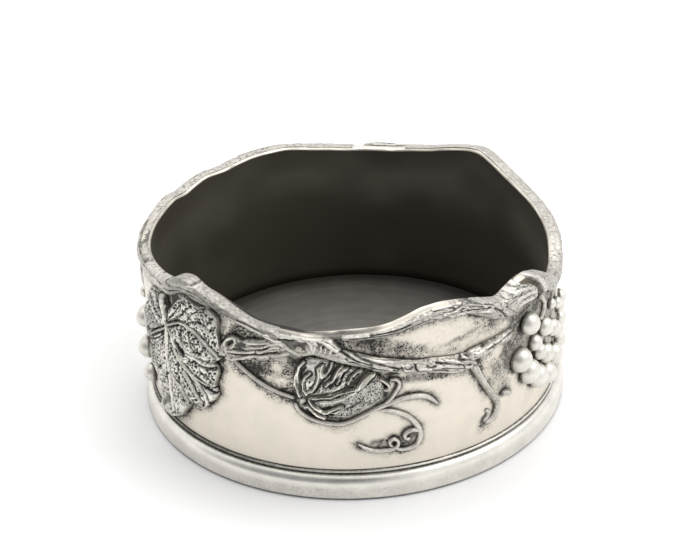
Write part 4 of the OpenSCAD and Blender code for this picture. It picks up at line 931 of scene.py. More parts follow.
# %% Lines on the cross vine and on the fold
CROSS_CORDS = [
    (0.5, 0.35, -0.5, [(-5.5, 47.4), (-3.6, 46.1), (-1.6, 44.9), (0.6, 43.7), (3, 42.9), (6, 42), (9, 41.2)]),
    (0.35, 0.35, -0.5, [(-4, 46), (-1.8, 44.8), (0.4, 43.4), (3, 42.2), (6, 41), (8.6, 40)]),
    (0.45, 0.4, -0.6, [(-3.4, 43.7), (-2.2, 43.3), (-1, 43.1)]),
    (0.35, 0.35, -0.5, [(0, 42.2), (3, 41.3), (6, 40.4), (9, 39.3)]),
    (0.35, 0.4, -0.7, [(4.6, 39.7), (8, 38.7), (12, 37.6), (16, 36.5), (20, 35.6), (24, 35), (27, 34.6)]),
    (0.45, 0.4, -0.6, [(12, 38.4), (13.8, 38.3)]), (0.5, 0.35, -0.6, [(15.6, 38.3), (17, 38), (18.4, 37.4)]),
    (0.4, 0.35, -0.6, [(19, 37.9), (22, 37.3), (25, 36.4), (28, 35.5), (31, 34.8)]),
    (0.4, 0.35, -0.5, [(21, 39.2), (24, 38.4), (26, 37.6)]),
    (0.3, -0.5, 1.0, [(-4.6, 47.2), (-3, 46), (-1, 44.9), (1, 43.6), (3, 42.5), (5, 41.6), (7.2, 40.7), (9, 39.9),
                       (10.4, 39.4)]),
    (0.29, -0.45, 1.0, [(-3.4, 45.4), (-1.6, 44.2), (0.4, 42.9), (2.8, 41.8), (4, 41.4)]),
    (0.29, -0.5, 1.0, [(-5, 45.3), (-4.6, 45)]), (0.29, -0.5, 1.0, [(-2, 43.5), (-1.6, 43.2)]),
    (0.29, -0.45, 1.0, [(-1.2, 42.8), (1, 41.9), (3, 41.1), (5, 40.3), (7.2, 39.5), (9.6, 38.7)]),
    (0.28, -0.4, 1.0, [(3.2, 40.4), (6, 39.6), (8, 38.9), (10, 38.3)]),
    (0.29, -0.4, 1.0, [(9.2, 39.2), (9.8, 38.7), (10.4, 39), (11.2, 39.6), (11.4, 38.9)]),
    (0.29, -0.45, 0.85, [(12, 39.4), (12.2, 38.9), (13.2, 38.8), (13.9, 39.2)]),
    (0.27, -0.6, 1.0, [(14.6, 39.5), (14.8, 38.2), (15.6, 37.5), (16.8, 37.3), (17.5, 36.7), (18.4, 36.3)]),
    (0.28, -0.4, 1.0, [(12, 37.9), (14, 37.2), (16, 36.4), (18, 35.9)]),
    (0.28, -0.45, 1.0, [(20, 38.9), (22.5, 38.1), (24.5, 37.4), (26.5, 36.7), (28, 36.1), (30, 35.5), (32, 35)]),
    (0.28, -0.45, 1.0, [(21.5, 37.1), (24, 36.4), (26, 35.8), (27.3, 35.4)]),
    (0.3, -0.5, 0.9, [(25.8, 39.7), (26.8, 39.2), (27, 38.5), (26.3, 38.1)]),
    (0.35, -0.6, 1.0, [(28.3, 38.4), (29.2, 38.2), (29.7, 39.2)]),
    (0.28, -0.45, 1.0, [(26, 38), (28, 37.5), (30, 37), (32.5, 36.5)]),
    (0.3, -0.5, 0.9, [(27, 36.4), (27.3, 35.7), (27.5, 35)]),
    (0.28, -0.4, 1.0, [(17.5, 38.6), (18.6, 38.1), (19.6, 38.3)]),
    (0.28, -0.4, 1.0, [(18.8, 37.2), (20.6, 36.6), (22.6, 36)])]
TWIG_CORDS = [
    (0.4, 0.35, -0.55, [(30.8, 38), (33, 38.3), (35.5, 38.9), (38.5, 39), (42, 38.9)]),
    (0.4, 0.35, -0.55, [(33, 36.4), (36, 37), (39, 37.3), (42, 37.3), (45, 37)]),
    (0.42, -0.9, 1.0, [(34.4, 37.9), (36.5, 38.2), (38.8, 38.6), (41, 38.9), (45, 39.2)]),
    (0.36, -0.9, 1.0, [(36.6, 37.3), (38.6, 37.3), (41, 37.5), (45, 37.4)]),
    (0.24, -0.5, 0.9, [(34.6, 36.6), (37, 36.5), (39.4, 36.7)]), (0.24, -0.5, 0.9, [(33, 39.2), (35.6, 39.7), (38, 39.7)]),
    (0.22, -0.5, 0.9, [(38.4, 37.7), (38.9, 37.2)]), (0.22, -0.5, 0.9, [(36.4, 39), (37, 38.5)]),
    (0.2, -0.4, 0.8, [(30.5, 37.2), (31.8, 36.8), (33.2, 36.6)]),
    (0.24, -0.5, 0.9, [(29.6, 35.4), (31.2, 34.7), (32.9, 34.2)]),
    (0.3, 0.4, -0.9, [(31.6, 33.6), (32.9, 30.8), (34.4, 27.8), (36, 25), (37.6, 22.4), (38.9, 20.4)])]
FOLD_CORDS = [
    (1.0, 0.8, -0.6, [(40, 54.6), (43, 55.3), (46, 55.2), (49, 54.2), (52, 52.2), (54.4, 49.6), (56.4, 46.6),
                      (58, 43.6), (59.4, 40.8)]),
    (0.95, -1.2, 1.0, [(47.5, 52.6), (50, 51.7), (52, 50.2), (53.8, 48.2)]),
    (1.2, -1.2, 0.85, [(53.4, 48.2), (54.9, 46), (56, 43.9), (56.9, 42)]),
    (0.4, -0.6, 1.0, [(52.8, 47.3), (54.6, 45.8)]),
    (0.5, 0.45, -0.6, [(41, 52.6), (44, 52.9), (46.5, 52.4)]), (0.45, 0.4, -0.6, [(43, 50.9), (46, 50.9), (49, 50.3)]),
    (0.5, 0.5, -0.7, [(44, 48.9), (47, 48.9), (50, 48.4), (52.5, 47.6)]),
    (0.5, 0.5, -0.6, [(45, 46.9), (48, 46.9), (51, 46.4), (53, 46)]),
    (0.4, 0.4, -0.5, [(46.5, 45.2), (49.5, 45), (52, 44.4)]),
    (0.4, 0.4, -0.6, [(22, 52.3), (25, 52.3), (28, 52.5), (31, 51.9), (34, 50.9)]),
    (0.35, 0.35, -0.6, [(24, 51.2), (28, 51), (32, 50), (35, 49.2)]),
    (0.2, -0.45, 0.8, [(42, 51.7), (45, 51.8), (47.5, 51.2)]), (0.2, -0.45, 0.8, [(43, 49.9), (46.5, 49.8), (50, 49.2)]),
    (0.22, -0.45, 0.8, [(44.6, 47.9), (48, 47.9), (51.5, 47.1)]), (0.2, -0.45, 0.8, [(45.5, 46), (48.5, 45.9), (52, 45.2)]),
    (0.21, -0.4, 0.8, [(22, 52.9), (24.5, 52.7), (27, 53.3), (29.5, 53.1), (32, 52.3), (34, 51.5), (36, 50.7)]),
    (0.21, -0.4, 0.8, [(24, 51.9), (27, 51.9), (30, 51.5), (32.5, 50.9), (34.6, 50.3)]),
    (0.4, -0.8, 1.0, [(34.8, 50.3), (35.3, 50.2)]), (0.21, -0.4, 0.8, [(36.5, 52), (39, 51), (41, 50.2)]),
    (0.28, -0.6, 0.95, [(20, 53.6), (22, 53.7), (24.5, 53.6)]), (0.28, -0.6, 0.95, [(26.5, 53.9), (29, 53.9), (31, 53.5)]),
    (0.28, -0.6, 0.95, [(22.6, 52.3), (25.2, 52.2), (27.4, 52.6)]), (0.28, -0.6, 0.95, [(28.8, 52.5), (31, 52), (33.2, 51.2)]),
    (0.28, -0.6, 0.95, [(19.4, 51.6), (21.4, 51.3), (23.4, 51.2)]), (0.28, -0.6, 0.95, [(25.4, 51), (28, 50.8), (30.6, 50.2)]),
    (0.26, -0.5, 0.9, [(24.8, 53.4), (25.3, 52.9)]), (0.26, -0.5, 0.9, [(28, 52.9), (28.3, 52.2)]),
    (0.21, -0.4, 0.8, [(29, 50.6), (32, 49.8), (35, 48.6)]),
    (0.2, -0.5, 0.95, [(-1, 48.7), (3, 48.9), (7, 49.2), (10, 49.6), (13, 50.3), (16, 51.3), (18.5, 51.9)]),
    (0.2, -0.4, 0.9, [(4, 49.3), (7.5, 49.7), (10.5, 50.3), (13.5, 51.3)]),
    (0.3, -0.6, 0.8, [(36.5, 49.6), (38.5, 48), (40, 45.9), (41.6, 44), (43.4, 42.4)]),
    (0.22, -0.4, 0.7, [(40.3, 48.6), (42.4, 46.4), (44.4, 44.8)])]
LEFT_RIM_CORDS = [
    (0.21, -0.35, 0.8, [(-52, 53.2), (-48, 54.6), (-45, 55.2), (-41, 55), (-38, 54), (-36, 53)]),
    (0.21, -0.35, 0.85, [(-44, 54.2), (-41, 54.1), (-38.4, 53.4), (-35, 52.7), (-32, 51.9), (-30, 51.4), (-27.5, 50.8),
                         (-25, 50), (-22, 49)]),
    (0.19, -0.3, 0.7, [(-38, 54.7), (-36, 53.9), (-34.4, 53.1), (-33, 52.9)]),
    (0.3, 0.35, -0.6, [(-30.5, 50.9), (-27.6, 50.3), (-25, 49.5), (-22.4, 48.6)]),
    (0.35, -0.5, 0.9, [(-29.7, 56.2), (-29.3, 56.2)]), (0.3, -0.4, 0.8, [(-34.1, 56.5), (-33.8, 56.4)]),
    (0.5, 0.3, -0.3, [(-50, 54.4), (-46, 55.8), (-42, 56.2)]),
    (0.25, -0.5, 0.9, [(-58.5, 53.2), (-54, 53.4), (-50.9, 53.7), (-48.5, 54.6), (-46.2, 55.4)]),
    (0.28, -0.5, 0.9, [(-54.4, 51.1), (-51.5, 51.9), (-48.6, 53.2), (-46, 54.2)]),
    (0.2, -0.4, 0.8, [(-112, 49.2), (-104, 48.6), (-96, 48.9), (-88, 48.7), (-82, 49.4)]),
    (0.2, -0.4, 0.8, [(-100, 49.3), (-94, 49.2), (-86, 49.7), (-78, 50.4), (-70, 51.3)]),
    (0.22, -0.4, 0.8, [(-108, 47.6), (-100, 47.5), (-92, 47.3), (-84, 48.2)]),
    (0.2, -0.4, 0.8, [(-84, 49), (-76, 49.9), (-68, 50.8), (-62, 51)]),
    (0.2, -0.4, 0.8, [(-80, 50.9), (-74, 51.4), (-66, 52.2), (-60, 52.4)]),
    (0.5, 0.4, -0.6, [(-106, 48.2), (-96, 48.1), (-86, 48.9), (-76, 49.4)]),
    (0.24, -0.5, 0.9, [(-62, 51.6), (-59, 51.4), (-56, 51.6)]), (0.22, -0.4, 0.8, [(-43, 56.8), (-41, 56.9), (-39, 56)])]

# %% Strands in place
def rim_and_cross(turn):
    """Rows of the long vine: along the rim, and then across the wall."""
    rim = rim_rows(turn - 183, turn - 16)
    return rim, cross_rows(turn)


for side, turn, size in (("left", 0, 1.0), ("right", 180, 0.9)):
    rim, cross = rim_and_cross(turn)
    front = "front" if turn == 0 else "back"
    seed = 100 + turn
    make_piece(side + "_rim_vine_bark", side + "_rim_vine", "vine_pewter",
               *strand(rim, seed, bark=1.1, plates=(0.3, 0.7, 0.7, 0.65, 0.5, 0.45, 0.1, 0),
                       grooves=(0.1, 0.2, 0.3, 0.5, 0.6, 0.5, 0.1, 0), across=80, step=0.3, tips=(1, 1), wrap=RIM_WRAP, plate=(2.6, 0.9), grey=RIM_GREY_AND_PAINTED_SHADE,
                       cords=FOLD_CORDS if turn == 180 else LEFT_RIM_CORDS))
    make_piece(front + "_cross_vine_bark", front + "_cross_vine", "vine_pewter",
               *joined([strand(cross, seed + 10, plates=(0, 0.2, 0.5, 0.8, 0.8), grooves=(0.3, 0.6, 0.7, 0.6, 0.5), across=96,
                               step=0.2, tips=(1, 1), plate=(4, 0.8), count=8, bark=1.0, merge=0.9, grey=0.3,
                               cords=moved(CROSS_CORDS, turn)),
                        casting((KNOT_AT[0] + turn, KNOT_AT[1]), hand_drawn(KNOT_EDGE, KNOT_CORDS, KNOT_AT, turn),
                                seed + 20, 420, 64, top=below_rim, ground=1.15, most=2.1, dots=0.3, curl=0.7,
                                grey=0.12)]))
    make_piece(front + "_side_branch_bark", front + "_side_branch", "vine_pewter",
               *casting((BRANCH_AT[0] + turn, BRANCH_AT[1]), hand_drawn(BRANCH_EDGE, BRANCH_CORDS, BRANCH_AT, turn),
                        seed + 30, 460, 64, ground=0.85, most=1.9, dots=0.5, curl=0.6, grey=0.3))
    make_piece(front + "_twig_fork_bark", front + "_twig_fork", "vine_pewter",
               *joined([strand(strand_rows(s, TWIG_W, TWIG_PROUD, turn), seed + 40 + k, bark=0.9, step=0.2,
                               across=40, plates=(0.9, 0.5), grooves=(0.5, 0.8), count=6, plate=(2.4, 0.7),
                               grey=(0.14, 0.12, 0.2, 0.2)[k],
                               cords=moved(TWIG_CORDS, turn))
                        for k, s in enumerate((UPPER_TWIG, LOWER_TWIG, INNER_CURL, BUD))]))
    low = large_place(turn)[1] + LEAF_REACH * size * 0.09 + FIT_GAP
    make_piece(("left" if turn == 0 else "back") + "_leaf_stem_cast", ("left" if turn == 0 else "back") + "_leaf_stem",
               "vine_pewter", *strand(hanging(LEAF_STEM, turn, low) * [1, 1, 0.38, 0.75], seed + 50, bark=0.4,
                                      plates=(0.2, 0.2), grooves=(0.6, 0.6), step=0.2))
    node_turn = SMALL_PLACE[0] + turn - SMALL_REACH * 0.96 / DEG
    tendrils = [beside_leaf(LEAF_STALK, TENDRIL_W, TENDRIL_PROUD, turn, size, node_turn) * [1, 1, 0.74, 0.9]]
    tendrils += [np.array(rows) + [turn, 0, 0, 0] for rows in TENDRILS]
    make_piece(front + "_tendril_cast", front + "_tendril", "vine_pewter",
               *joined([strand(rows, seed + 60 + k, bark=0.12, plates=(0, 0), across=24, step=0.2, grey=0.0)
                        for k, rows in enumerate(tendrils)]))

# %% Leaves and grapes in place
for front, turn, size in (("left", 0, 1.0), ("back", 180, 0.9)):
    make_piece(front + "_large_leaf_cast", front + "_large_leaf", "leaf_pewter",
               *casting(large_place(turn), LARGE, 200 + turn, 640, 140, size, under_rim, ground=1.2, up=1.0, down=1.3,
                        most=2.9, bulge=0.7, pits=0.45, crests=0.12, swells=0.2, grey=0.08, dots=0.3))
for front, turn in (("front", 0), ("back", 180)):
    make_piece(front + "_small_leaf_cast", front + "_small_leaf", "leaf_pewter",
               *casting((SMALL_PLACE[0] + turn, SMALL_PLACE[1]), SMALL, 300 + turn, 420, 80, 1.0, under_cross(turn),
                        ground=0.7, up=1.0, down=0.9, most=2.0, bulge=0.35, pits=0.1, crests=0.35, swells=0.15,
                        grey=0.36, dots=0.65))
make_piece("right_grapes_cast", "right_grape_cluster", "grape_pewter", *grapes(RIGHT_GRAPES, 400))
make_piece("left_grapes_cast", "left_grape_cluster", "grape_pewter", *grapes(LEFT_GRAPES, 500))
for side, turn, grape, seed in (("right", 0, RIGHT_GRAPES[7], 600), ("left", -148, LEFT_GRAPES[3], 700)):
    low = grape[1] * RIM_H + grape[2] * GRAPE_D / 2 + FIT_GAP
    make_piece(side + "_grape_stem_cast", side + "_grape_stem", "vine_pewter",
               *strand(hanging(GRAPE_STEM, turn, low), seed, bark=0.5, step=0.2))

# %% [markdown]
# ## The wall
#
# The wall is cast too. Between the castings its ground is pricked and black, and this fades within two or
# three millimetres into the smooth, wiped metal of the open places. So the wall needs to know how far each of
# its points is from the nearest casting. The same paths and outlines that made the castings give it.

# %% Distance to the castings
def strand_gap(turn, high, rows):
    """Distance on the wall from each place to the side of a strand, in mm."""
    path, _ = eased(rows, 1.5)
    middle = path[:, 0].mean()
    x, px = wrapped(turn - middle) * DEG, (path[:, 0] - middle) * DEG
    best = np.full(np.shape(x), 1e9)
    for i in range(len(path) - 1):
        ux, uy = px[i + 1] - px[i], path[i + 1, 1] - path[i, 1]
        t = np.clip(((x - px[i]) * ux + (high - path[i, 1]) * uy) / max(ux * ux + uy * uy, 1e-9), 0, 1)
        half = path[i, 2] + t * (path[i + 1, 2] - path[i, 2])
        best = np.minimum(best, np.hypot(x - px[i] - t * ux, high - path[i, 1] - t * uy) - half)
    return best


def leaf_gap(turn, high, place, size, outline):
    """Distance on the wall from each place to the outline of a leaf, in mm of the leaf's own size."""
    x, y = wrapped(turn - place[0]) * DEG / size, (high - place[1]) / size
    return line_distance(x, y, outline + outline[:1]) * size


turns = np.linspace(-180, 180, 840, endpoint=False)[:, None]
share = np.linspace(0, 1, 88)[None]
heights = RING_TOP - 1.2 + (rim_z(turns) - 1.0 - RING_TOP + 1.2) * share
gap, soft, thin = (np.full(heights.shape, 1e9) for _ in range(3))
for turn, size in ((0, 1.0), (180, 0.9)):
    rim, cross = rim_and_cross(turn)
    strands = [rim, cross, beside_leaf(LEAF_STALK, TENDRIL_W, TENDRIL_PROUD, turn, size,
                           SMALL_PLACE[0] + turn - SMALL_REACH * 0.96 / DEG)]
    for s in (UPPER_TWIG, LOWER_TWIG, BUD):
        soft = np.minimum(soft, strand_gap(turns, heights, strand_rows(s, TWIG_W, TWIG_PROUD, turn)))
    for rows in TENDRILS[:5]:
        thin = np.minimum(thin, strand_gap(turns, heights, np.array(rows) + [turn, 0, 0, 0]))
    for rows in strands:
        gap = np.minimum(gap, strand_gap(turns, heights, rows))
    gap = np.minimum(gap, leaf_gap(turns, heights, large_place(turn), size, LARGE_OUTLINE))
    for edge, (t, h) in ((KNOT_EDGE, KNOT_AT), (BRANCH_EDGE, BRANCH_AT)):
        gap = np.minimum(gap, leaf_gap(turns, heights, (t + turn, h), 1.0, flat_edge(edge, (t, h))))
    gap = np.minimum(gap, leaf_gap(turns, heights, (SMALL_PLACE[0] + turn, SMALL_PLACE[1]), 1.0, SMALL_OUTLINE))
for table in (RIGHT_GRAPES, LEFT_GRAPES):
    for turn, high, size in table:
        soft = np.minimum(soft, np.hypot(wrapped(turns - turn) * DEG, heights - high * RIM_H) - size * GRAPE_D / 2)
print("half of the wall is within", round(float(np.median(gap)), 1), "mm of a casting")

# Upper edge of the cross vine and of the twig that carries it on.
CREST = eased(cross_rows(0), 1.0)[0]
CREST = np.array([(t, h + w) for t, h, w, _ in CREST if t < 27] + [(30, 39.6), (34, 39.6), (41, 39.3)])

# %% Pools of black on the wall
# Turn, height, half length, half height, how black, how many dots. The back has them half a turn further round.
POOLS = [(-28, 47.6, 6.5, 3.0, 0.16, 1.0), (-24.5, 47.6, 3, 1.6, 0.2, 1.0), (-31.5, 42.5, 3, 3, 0.5, 0.6),
         (-22, 38.2, 8.5, 4.0, 0.2, 1.0), (-26.5, 37, 5, 2.2, 0.42, 1.0), (-15.2, 41, 2.2, 2.6, 0.45, 1.0),
         (4.4, 46.6, 6.4, 2.3, 0.34, 1.0), (3.4, 47, 2.2, 1.3, 0.6, 0.8), (12, 49.9, 7.5, 0.9, 0.25, 1.0),
         (8, 44.8, 7, 2.6, 0.24, 1.0), (14, 42.9, 6.5, 1.8, 0.2, 0.65), (20.5, 42.2, 4, 1.2, 0.12, 0.6),
         (23.5, 42.4, 3, 0.7, 0.2, 0.7), (31.5, 43.9, 3.5, 0.8, 0.2, 0.7), (-35, 48.5, 3, 3.5, 0.3, 0.7), (25, 51.2, 9, 1.5, 0.3, 1.0),
         (27.5, 43, 4, 0.9, 0.22, 0.7), (34.5, 46.5, 4.5, 5.5, 0.12, 0.8), (38.5, 45.6, 3.4, 5, 0.24, 0.9),
         (40, 47, 1.3, 2, 0.75, 0.3), (45, 41, 2.6, 4.5, 0.36, 0.7), (43.5, 34.5, 3.4, 3.4, 0.28, 0.8),
         (39.5, 28, 5, 6.8, 0.2, 0.6), (41.8, 32.6, 2.2, 2.2, 0.36, 0.6), (41.5, 23.2, 4, 2.4, 0.2, 0.6),
         (52, 43.5, 3.5, 2.4, 0.45, 0.6), (55.5, 42, 3, 4.5, 0.5, 0.6), (61, 33, 18, 18, 0.32, 0.6), (50, 38.5, 7.5, 10.5, 0.34, 0.8), (44.5, 31, 4.5, 5.5, 0.33, 0.8), (22, 33.8, 9, 1.2, 0.3, 1.0), (15, 34.8, 6, 1.6, 0.35, 0.9),
         (6, 16.6, 3.6, 1.2, 0.3, 0.9), (13.8, 17.4, 1.7, 1.9, 0.6, 0.4), (12.5, 15.2, 2, 0.7, 0.6, 0.3),
         (9.2, 37.0, 2.4, 0.6, 0.85, 0.6), (7.4, 31.4, 1.3, 3, 0.55, 0.8), (13, 22.4, 2.2, 1.8, 0.2, 0.7),
         (30, 45.5, 15, 8, 0.17, 0.0), (-51.5, 49, 2, 3, 0.9, 0.4), (-57, 46.5, 1.5, 3.5, 0.9, 0.4), (55, 47.5, 4, 3.5, 0.7, 0.5),
         (-5, 22, 7, 2.5, 0.1, 0.5)]
SMOOTH = [(22, 46.5, 9, 1.6), (10, 24, 14, 6), (-30, 18, 12, 8), (-19.5, 38.4, 1.6, 1.2), (42, 17.4, 6, 2.2)]


def pool(turn, high, row):
    """1 inside an oval on the wall, and soon 0 outside: exp(-q^4) for q, the distance in half widths."""
    return np.exp(-((wrapped(turn - row[0]) * DEG / row[2]) ** 2 + ((high - row[1]) / row[3]) ** 2) ** 2)


along = (turns + 180) / 360 * 256 * 1.45
first, second, tone = cell_noise(along, heights, 1.45, 71, around=256)
swell = soft_noise(along, heights, 5.8, 72, around=64)
patchy = soft_noise(along, heights, 2.9, 75, around=128)
near, loose = np.clip(gap, 0, 9), np.clip(soft, 0, 9)
thin = np.clip(thin, 0, 9)
black = np.maximum.reduce([(0.35 + 0.3 * patchy) * np.exp(-near / 0.25) + 0.32 * np.exp(-near / 1.8),
                           (0.4 + 0.2 * patchy) * np.exp(-loose / 0.9),
                           (0.3 + 0.25 * patchy) * np.exp(-thin / 0.6) + 0.25 * np.exp(-thin / 1.7)])
near = np.minimum.reduce([near, loose + 0.8, 1.4 * thin + 0.8])
pricked = np.exp(-(near / (2.6 + 0.9 * swell + 0.6 * patchy)) ** 1.6)
for shift in (0, 180):
    for row in POOLS:
        spot = pool(turns - shift, heights, row)
        black, pricked = np.maximum(black, row[4] * spot), np.maximum(pricked, row[5] * spot)
    for row in SMOOTH:
        spot = pool(turns - shift, heights, row)
        pricked = pricked * (1 - 0.8 * spot)
    above = wrapped(turns - shift)
    crest = np.interp(above, CREST[:, 0], CREST[:, 1])
    band = bell(heights - crest - 0.4, 0.8) * ramp(12, 20, above) * ramp(44, 41, above)
    black, pricked = np.maximum(black * (1 - 0.8 * band), 0.26 * band), pricked * (1 - 0.8 * band)
pricked = np.clip(pricked * (0.9 + 0.4 * patchy), 0, 1)
print("share of the wall that is pricked:", round(float((pricked > 0.4).mean()), 2))

# %% Wall surface
# Three sections of the rim, as radius and height from its top: round, flat with a sharp inner lip, bevelled inwards.
LIP_ROUND = np.array([(59 - 0.02, -0.8), (58.9, -0.55), (58.75, -0.36), (58.5, -0.22), (58.2, -0.13), (57.9, -0.1),
                      (57.6, -0.1), (57.3, -0.1), (57, -0.13), (56.75, -0.2), (56.5, -0.32), (56.3, -0.45),
                      (56.15, -0.58), (56.07, -0.7), (56.02, -0.82), (56, -0.95)])
LIP_FLAT = np.array([(59.05, -0.7), (59.1, -0.4), (59.05, -0.2), (58.8, -0.06), (58.4, 0.0), (58, 0.0),
                     (57.6, -0.02), (57.2, -0.02), (56.9, 0.0), (56.65, 0.03), (56.42, 0.07), (56.22, 0.08),
                     (56.08, 0.03), (56.02, -0.08), (56, -0.25), (56, -0.6)])
LIP_BEVEL = np.array([(59, -0.8), (59, -0.5), (58.9, -0.3), (58.6, -0.15), (58.2, -0.05), (57.8, -0.05),
                      (57.4, -0.2), (57.15, -0.42), (56.95, -0.45), (56.7, -0.33), (56.45, -0.18), (56.25, -0.08),
                      (56.1, -0.05), (56.02, -0.14), (56, -0.3), (56, -0.6)])
relief = pricked * (0.16 * swell - 0.3 * bell(first, 0.3)) + 0.04 * swell - 0.12 * black
relief *= ramp(RING_TOP - 0.4, RING_TOP + 0.8, heights)
rim_run = (turns + 180) / 360 * 256 * 1.45
step = np.arange(len(LIP_ROUND))[None]
streak = (soft_noise(rim_run + 0 * step, step * 0.7, 2.9, 73, around=128)
          + soft_noise(rim_run + 0 * step, step * 2.0, 5.8, 76, around=64))
flat = np.interp(turns, [-14, -8, 24, 34], [0, 1, 1, 0])
bevel = np.interp(turns, [-40, -30, -14, -9], [0, 1, 1, 0])
section = (LIP_ROUND[None] * (1 - flat - bevel)[..., None] + LIP_FLAT[None] * flat[..., None]
           + LIP_BEVEL[None] * bevel[..., None])
edge_r = section[..., 0]
edge_z = section[..., 1] + 0.07 * streak * ramp(59, 58.6, edge_r) * ramp(56, 56.4, edge_r)
inner = np.linspace(1, 0, 12)[None]
radius = np.concatenate([WALL_R + np.minimum(relief, 0), edge_r, WELL_R + 0 * (inner + turns)], 1)
height = np.concatenate([heights, rim_z(turns) + edge_z,
                         2.4 + (rim_z(turns) - 1.0 - 2.4) * inner], 1)
radius = np.concatenate([radius, 0 * turns + WALL_R], 1)
height = np.concatenate([height, 0 * turns + 2.4], 1)
t = np.radians(turns)
P = np.stack([radius * np.sin(t), -radius * np.cos(t), height], -1) * MM
n_out, n_edge = heights.shape[1], edge_z.shape[1]
spread = lambda outer, edge, inside: np.concatenate(
    [outer, np.ones((len(turns), n_edge)) * edge, np.ones((len(turns), 12)) * inside, 0 * turns], 1)
# Inside the well the metal is painted dark, a painted reflection of a dark bottle standing in it, with a lighter
# painted reflection band near the top that is strongest at the back right, and a little noise.
inside_painted_reflection = (0.82 - 0.13 * bell(inner - 0.78, 0.2) * (0.55 + 0.45 * np.cos(np.radians(turns - 130)))
            + 0.05 * soft_noise((turns + 180) / 360 * 256, inner * 50 + 0 * turns, 8.0, 74, around=32))
grey_lip = np.interp(turns, [-12, -7, 4, 9], [0, 1, 0.8, 0])
# Darkness on the top of the rim: a base level with streaks, darker at the front of the inner lip and in the bevel's
# groove, plus 0.2 of painted shade from -60 to -8 degrees, where the front left is made greyer to stand for a dimmer
# reflection.
lip_patina_and_painted_shade = np.clip(0.22 + 0.2 * np.interp(turns, [-60, -50, -14, -8], [0, 1, 1, 0]) + 0.12 * streak + 0.38 * grey_lip * ramp(56.2, 56.6, edge_r)
                   + 0.45 * bevel * ramp(57.6, 57.0, edge_r), 0, 1)
tarnish = spread(np.clip(black + 0.23 * pricked + 0.3 * pricked * bell(first, 0.3), 0, 1),
                 lip_patina_and_painted_shade, inside_painted_reflection)
dots = spread(0.9 * pricked, 0.12, 0 * turns)
polish = spread(np.clip(1 - pricked - black, 0, 1), 0.6, 0.1 + 0 * turns)
# Inside the well the brown share of 0.45 tints that painted dark reflection olive.
brown = spread(np.clip(black - 0.5, 0, 1), 0.1, 0.45 + 0 * turns)
even = spread(0 * heights, 0.6, 1 + 0 * turns)
points, faces = grid_mesh(P, ring=True)
wall_marks = {"tarnish": tarnish.ravel(), "dots": dots.ravel(), "polish": polish.ravel(), "brown": brown.ravel(),
              "even": even.ravel()}
make_piece("wall_band_cast", "wall_band", "wall_pewter", points, faces, wall_marks)

# %% [markdown]
# ## Finishes
#
# All the metal is one pewter with one history: cast, blackened, wiped. A node group holds that history. It
# takes the marks from the mesh and adds what is too fine for it: black dots a third of a millimetre wide, a
# satin grain, and a ragged edge to each dark patch. The dark mark also carries painted shade and painted
# reflection in a few places: the front left of the rim, the inside of the well, the lower face of the foot
# ring and the top and left of the large leaf. Every material places the group with its own amounts, and keeps
# its own shader.

# %% Node helpers
def add_node(tree, kind, at=(0, 0), **settings):
    """A node with its settings, and with its unlinked inputs given by name or number in inputs=."""
    node = tree.nodes.new(kind)
    node.location = at
    inputs = settings.pop("inputs", {})
    for key, value in settings.items():
        setattr(node, key, value)
    for key, value in inputs.items():
        node.inputs[key].default_value = value
    return node


def link(tree, source, target):
    """Links an output socket to an input socket."""
    tree.links.new(source, target)


def math_node(tree, operation, first, second=None, clamp=False):
    """A Math node on sockets or plain numbers, and its output."""
    node = add_node(tree, "ShaderNodeMath", operation=operation, use_clamp=clamp)
    for place, value in enumerate((first, second)):
        if isinstance(value, (int, float)):
            node.inputs[place].default_value = value
        elif value is not None:
            link(tree, value, node.inputs[place])
    return node.outputs[0]


def range_node(tree, value, low, high, to_low=0.0, to_high=1.0):
    """A smooth Map Range, clamped."""
    node = add_node(tree, "ShaderNodeMapRange", interpolation_type="SMOOTHSTEP")
    for place, number in ((1, low), (2, high), (3, to_low), (4, to_high)):
        if isinstance(number, (int, float)):
            node.inputs[place].default_value = number
        else:
            link(tree, number, node.inputs[place])
    link(tree, value, node.inputs[0])
    return node.outputs[0]


def mix_colour(tree, factor, first, second):
    """A Mix node on colours."""
    node = add_node(tree, "ShaderNodeMix", data_type="RGBA")
    link(tree, factor, node.inputs[0])
    for place, value in ((6, first), (7, second)):
        if isinstance(value, tuple):
            node.inputs[place].default_value = value
        else:
            link(tree, value, node.inputs[place])
    return node.outputs[2]


print("node helpers ready")

# %% Group: blackened and wiped, with painted shade
wiped = bpy.data.node_groups.new("blackened_and_wiped", "ShaderNodeTree")
for label, kind, value in (("Tarnish", "NodeSocketFloat", 0.0), ("Dots", "NodeSocketFloat", 0.0),
                           ("Polish", "NodeSocketFloat", 0.0), ("Brown", "NodeSocketFloat", 0.0),
                           ("Even", "NodeSocketFloat", 0.0),
                           ("Bright", "NodeSocketColor", (0.8, 0.78, 0.73, 1)),
                           ("Cloud", "NodeSocketColor", (0.7, 0.68, 0.63, 1)),
                           ("Smooth Roughness", "NodeSocketFloat", 0.3), ("Grain", "NodeSocketFloat", 0.5),
                           ("Mottle", "NodeSocketFloat", 0.2)):
    socket = wiped.interface.new_socket(name=label, in_out="INPUT", socket_type=kind)
    socket.default_value = value
for label, kind in (("Colour", "NodeSocketColor"), ("Roughness", "NodeSocketFloat"),
                    ("Metal", "NodeSocketFloat"), ("Height", "NodeSocketFloat")):
    wiped.interface.new_socket(name=label, in_out="OUTPUT", socket_type=kind)
given = add_node(wiped, "NodeGroupInput").outputs
result = add_node(wiped, "NodeGroupOutput").inputs
place = add_node(wiped, "ShaderNodeTexCoord").outputs["Object"]
noise = {}
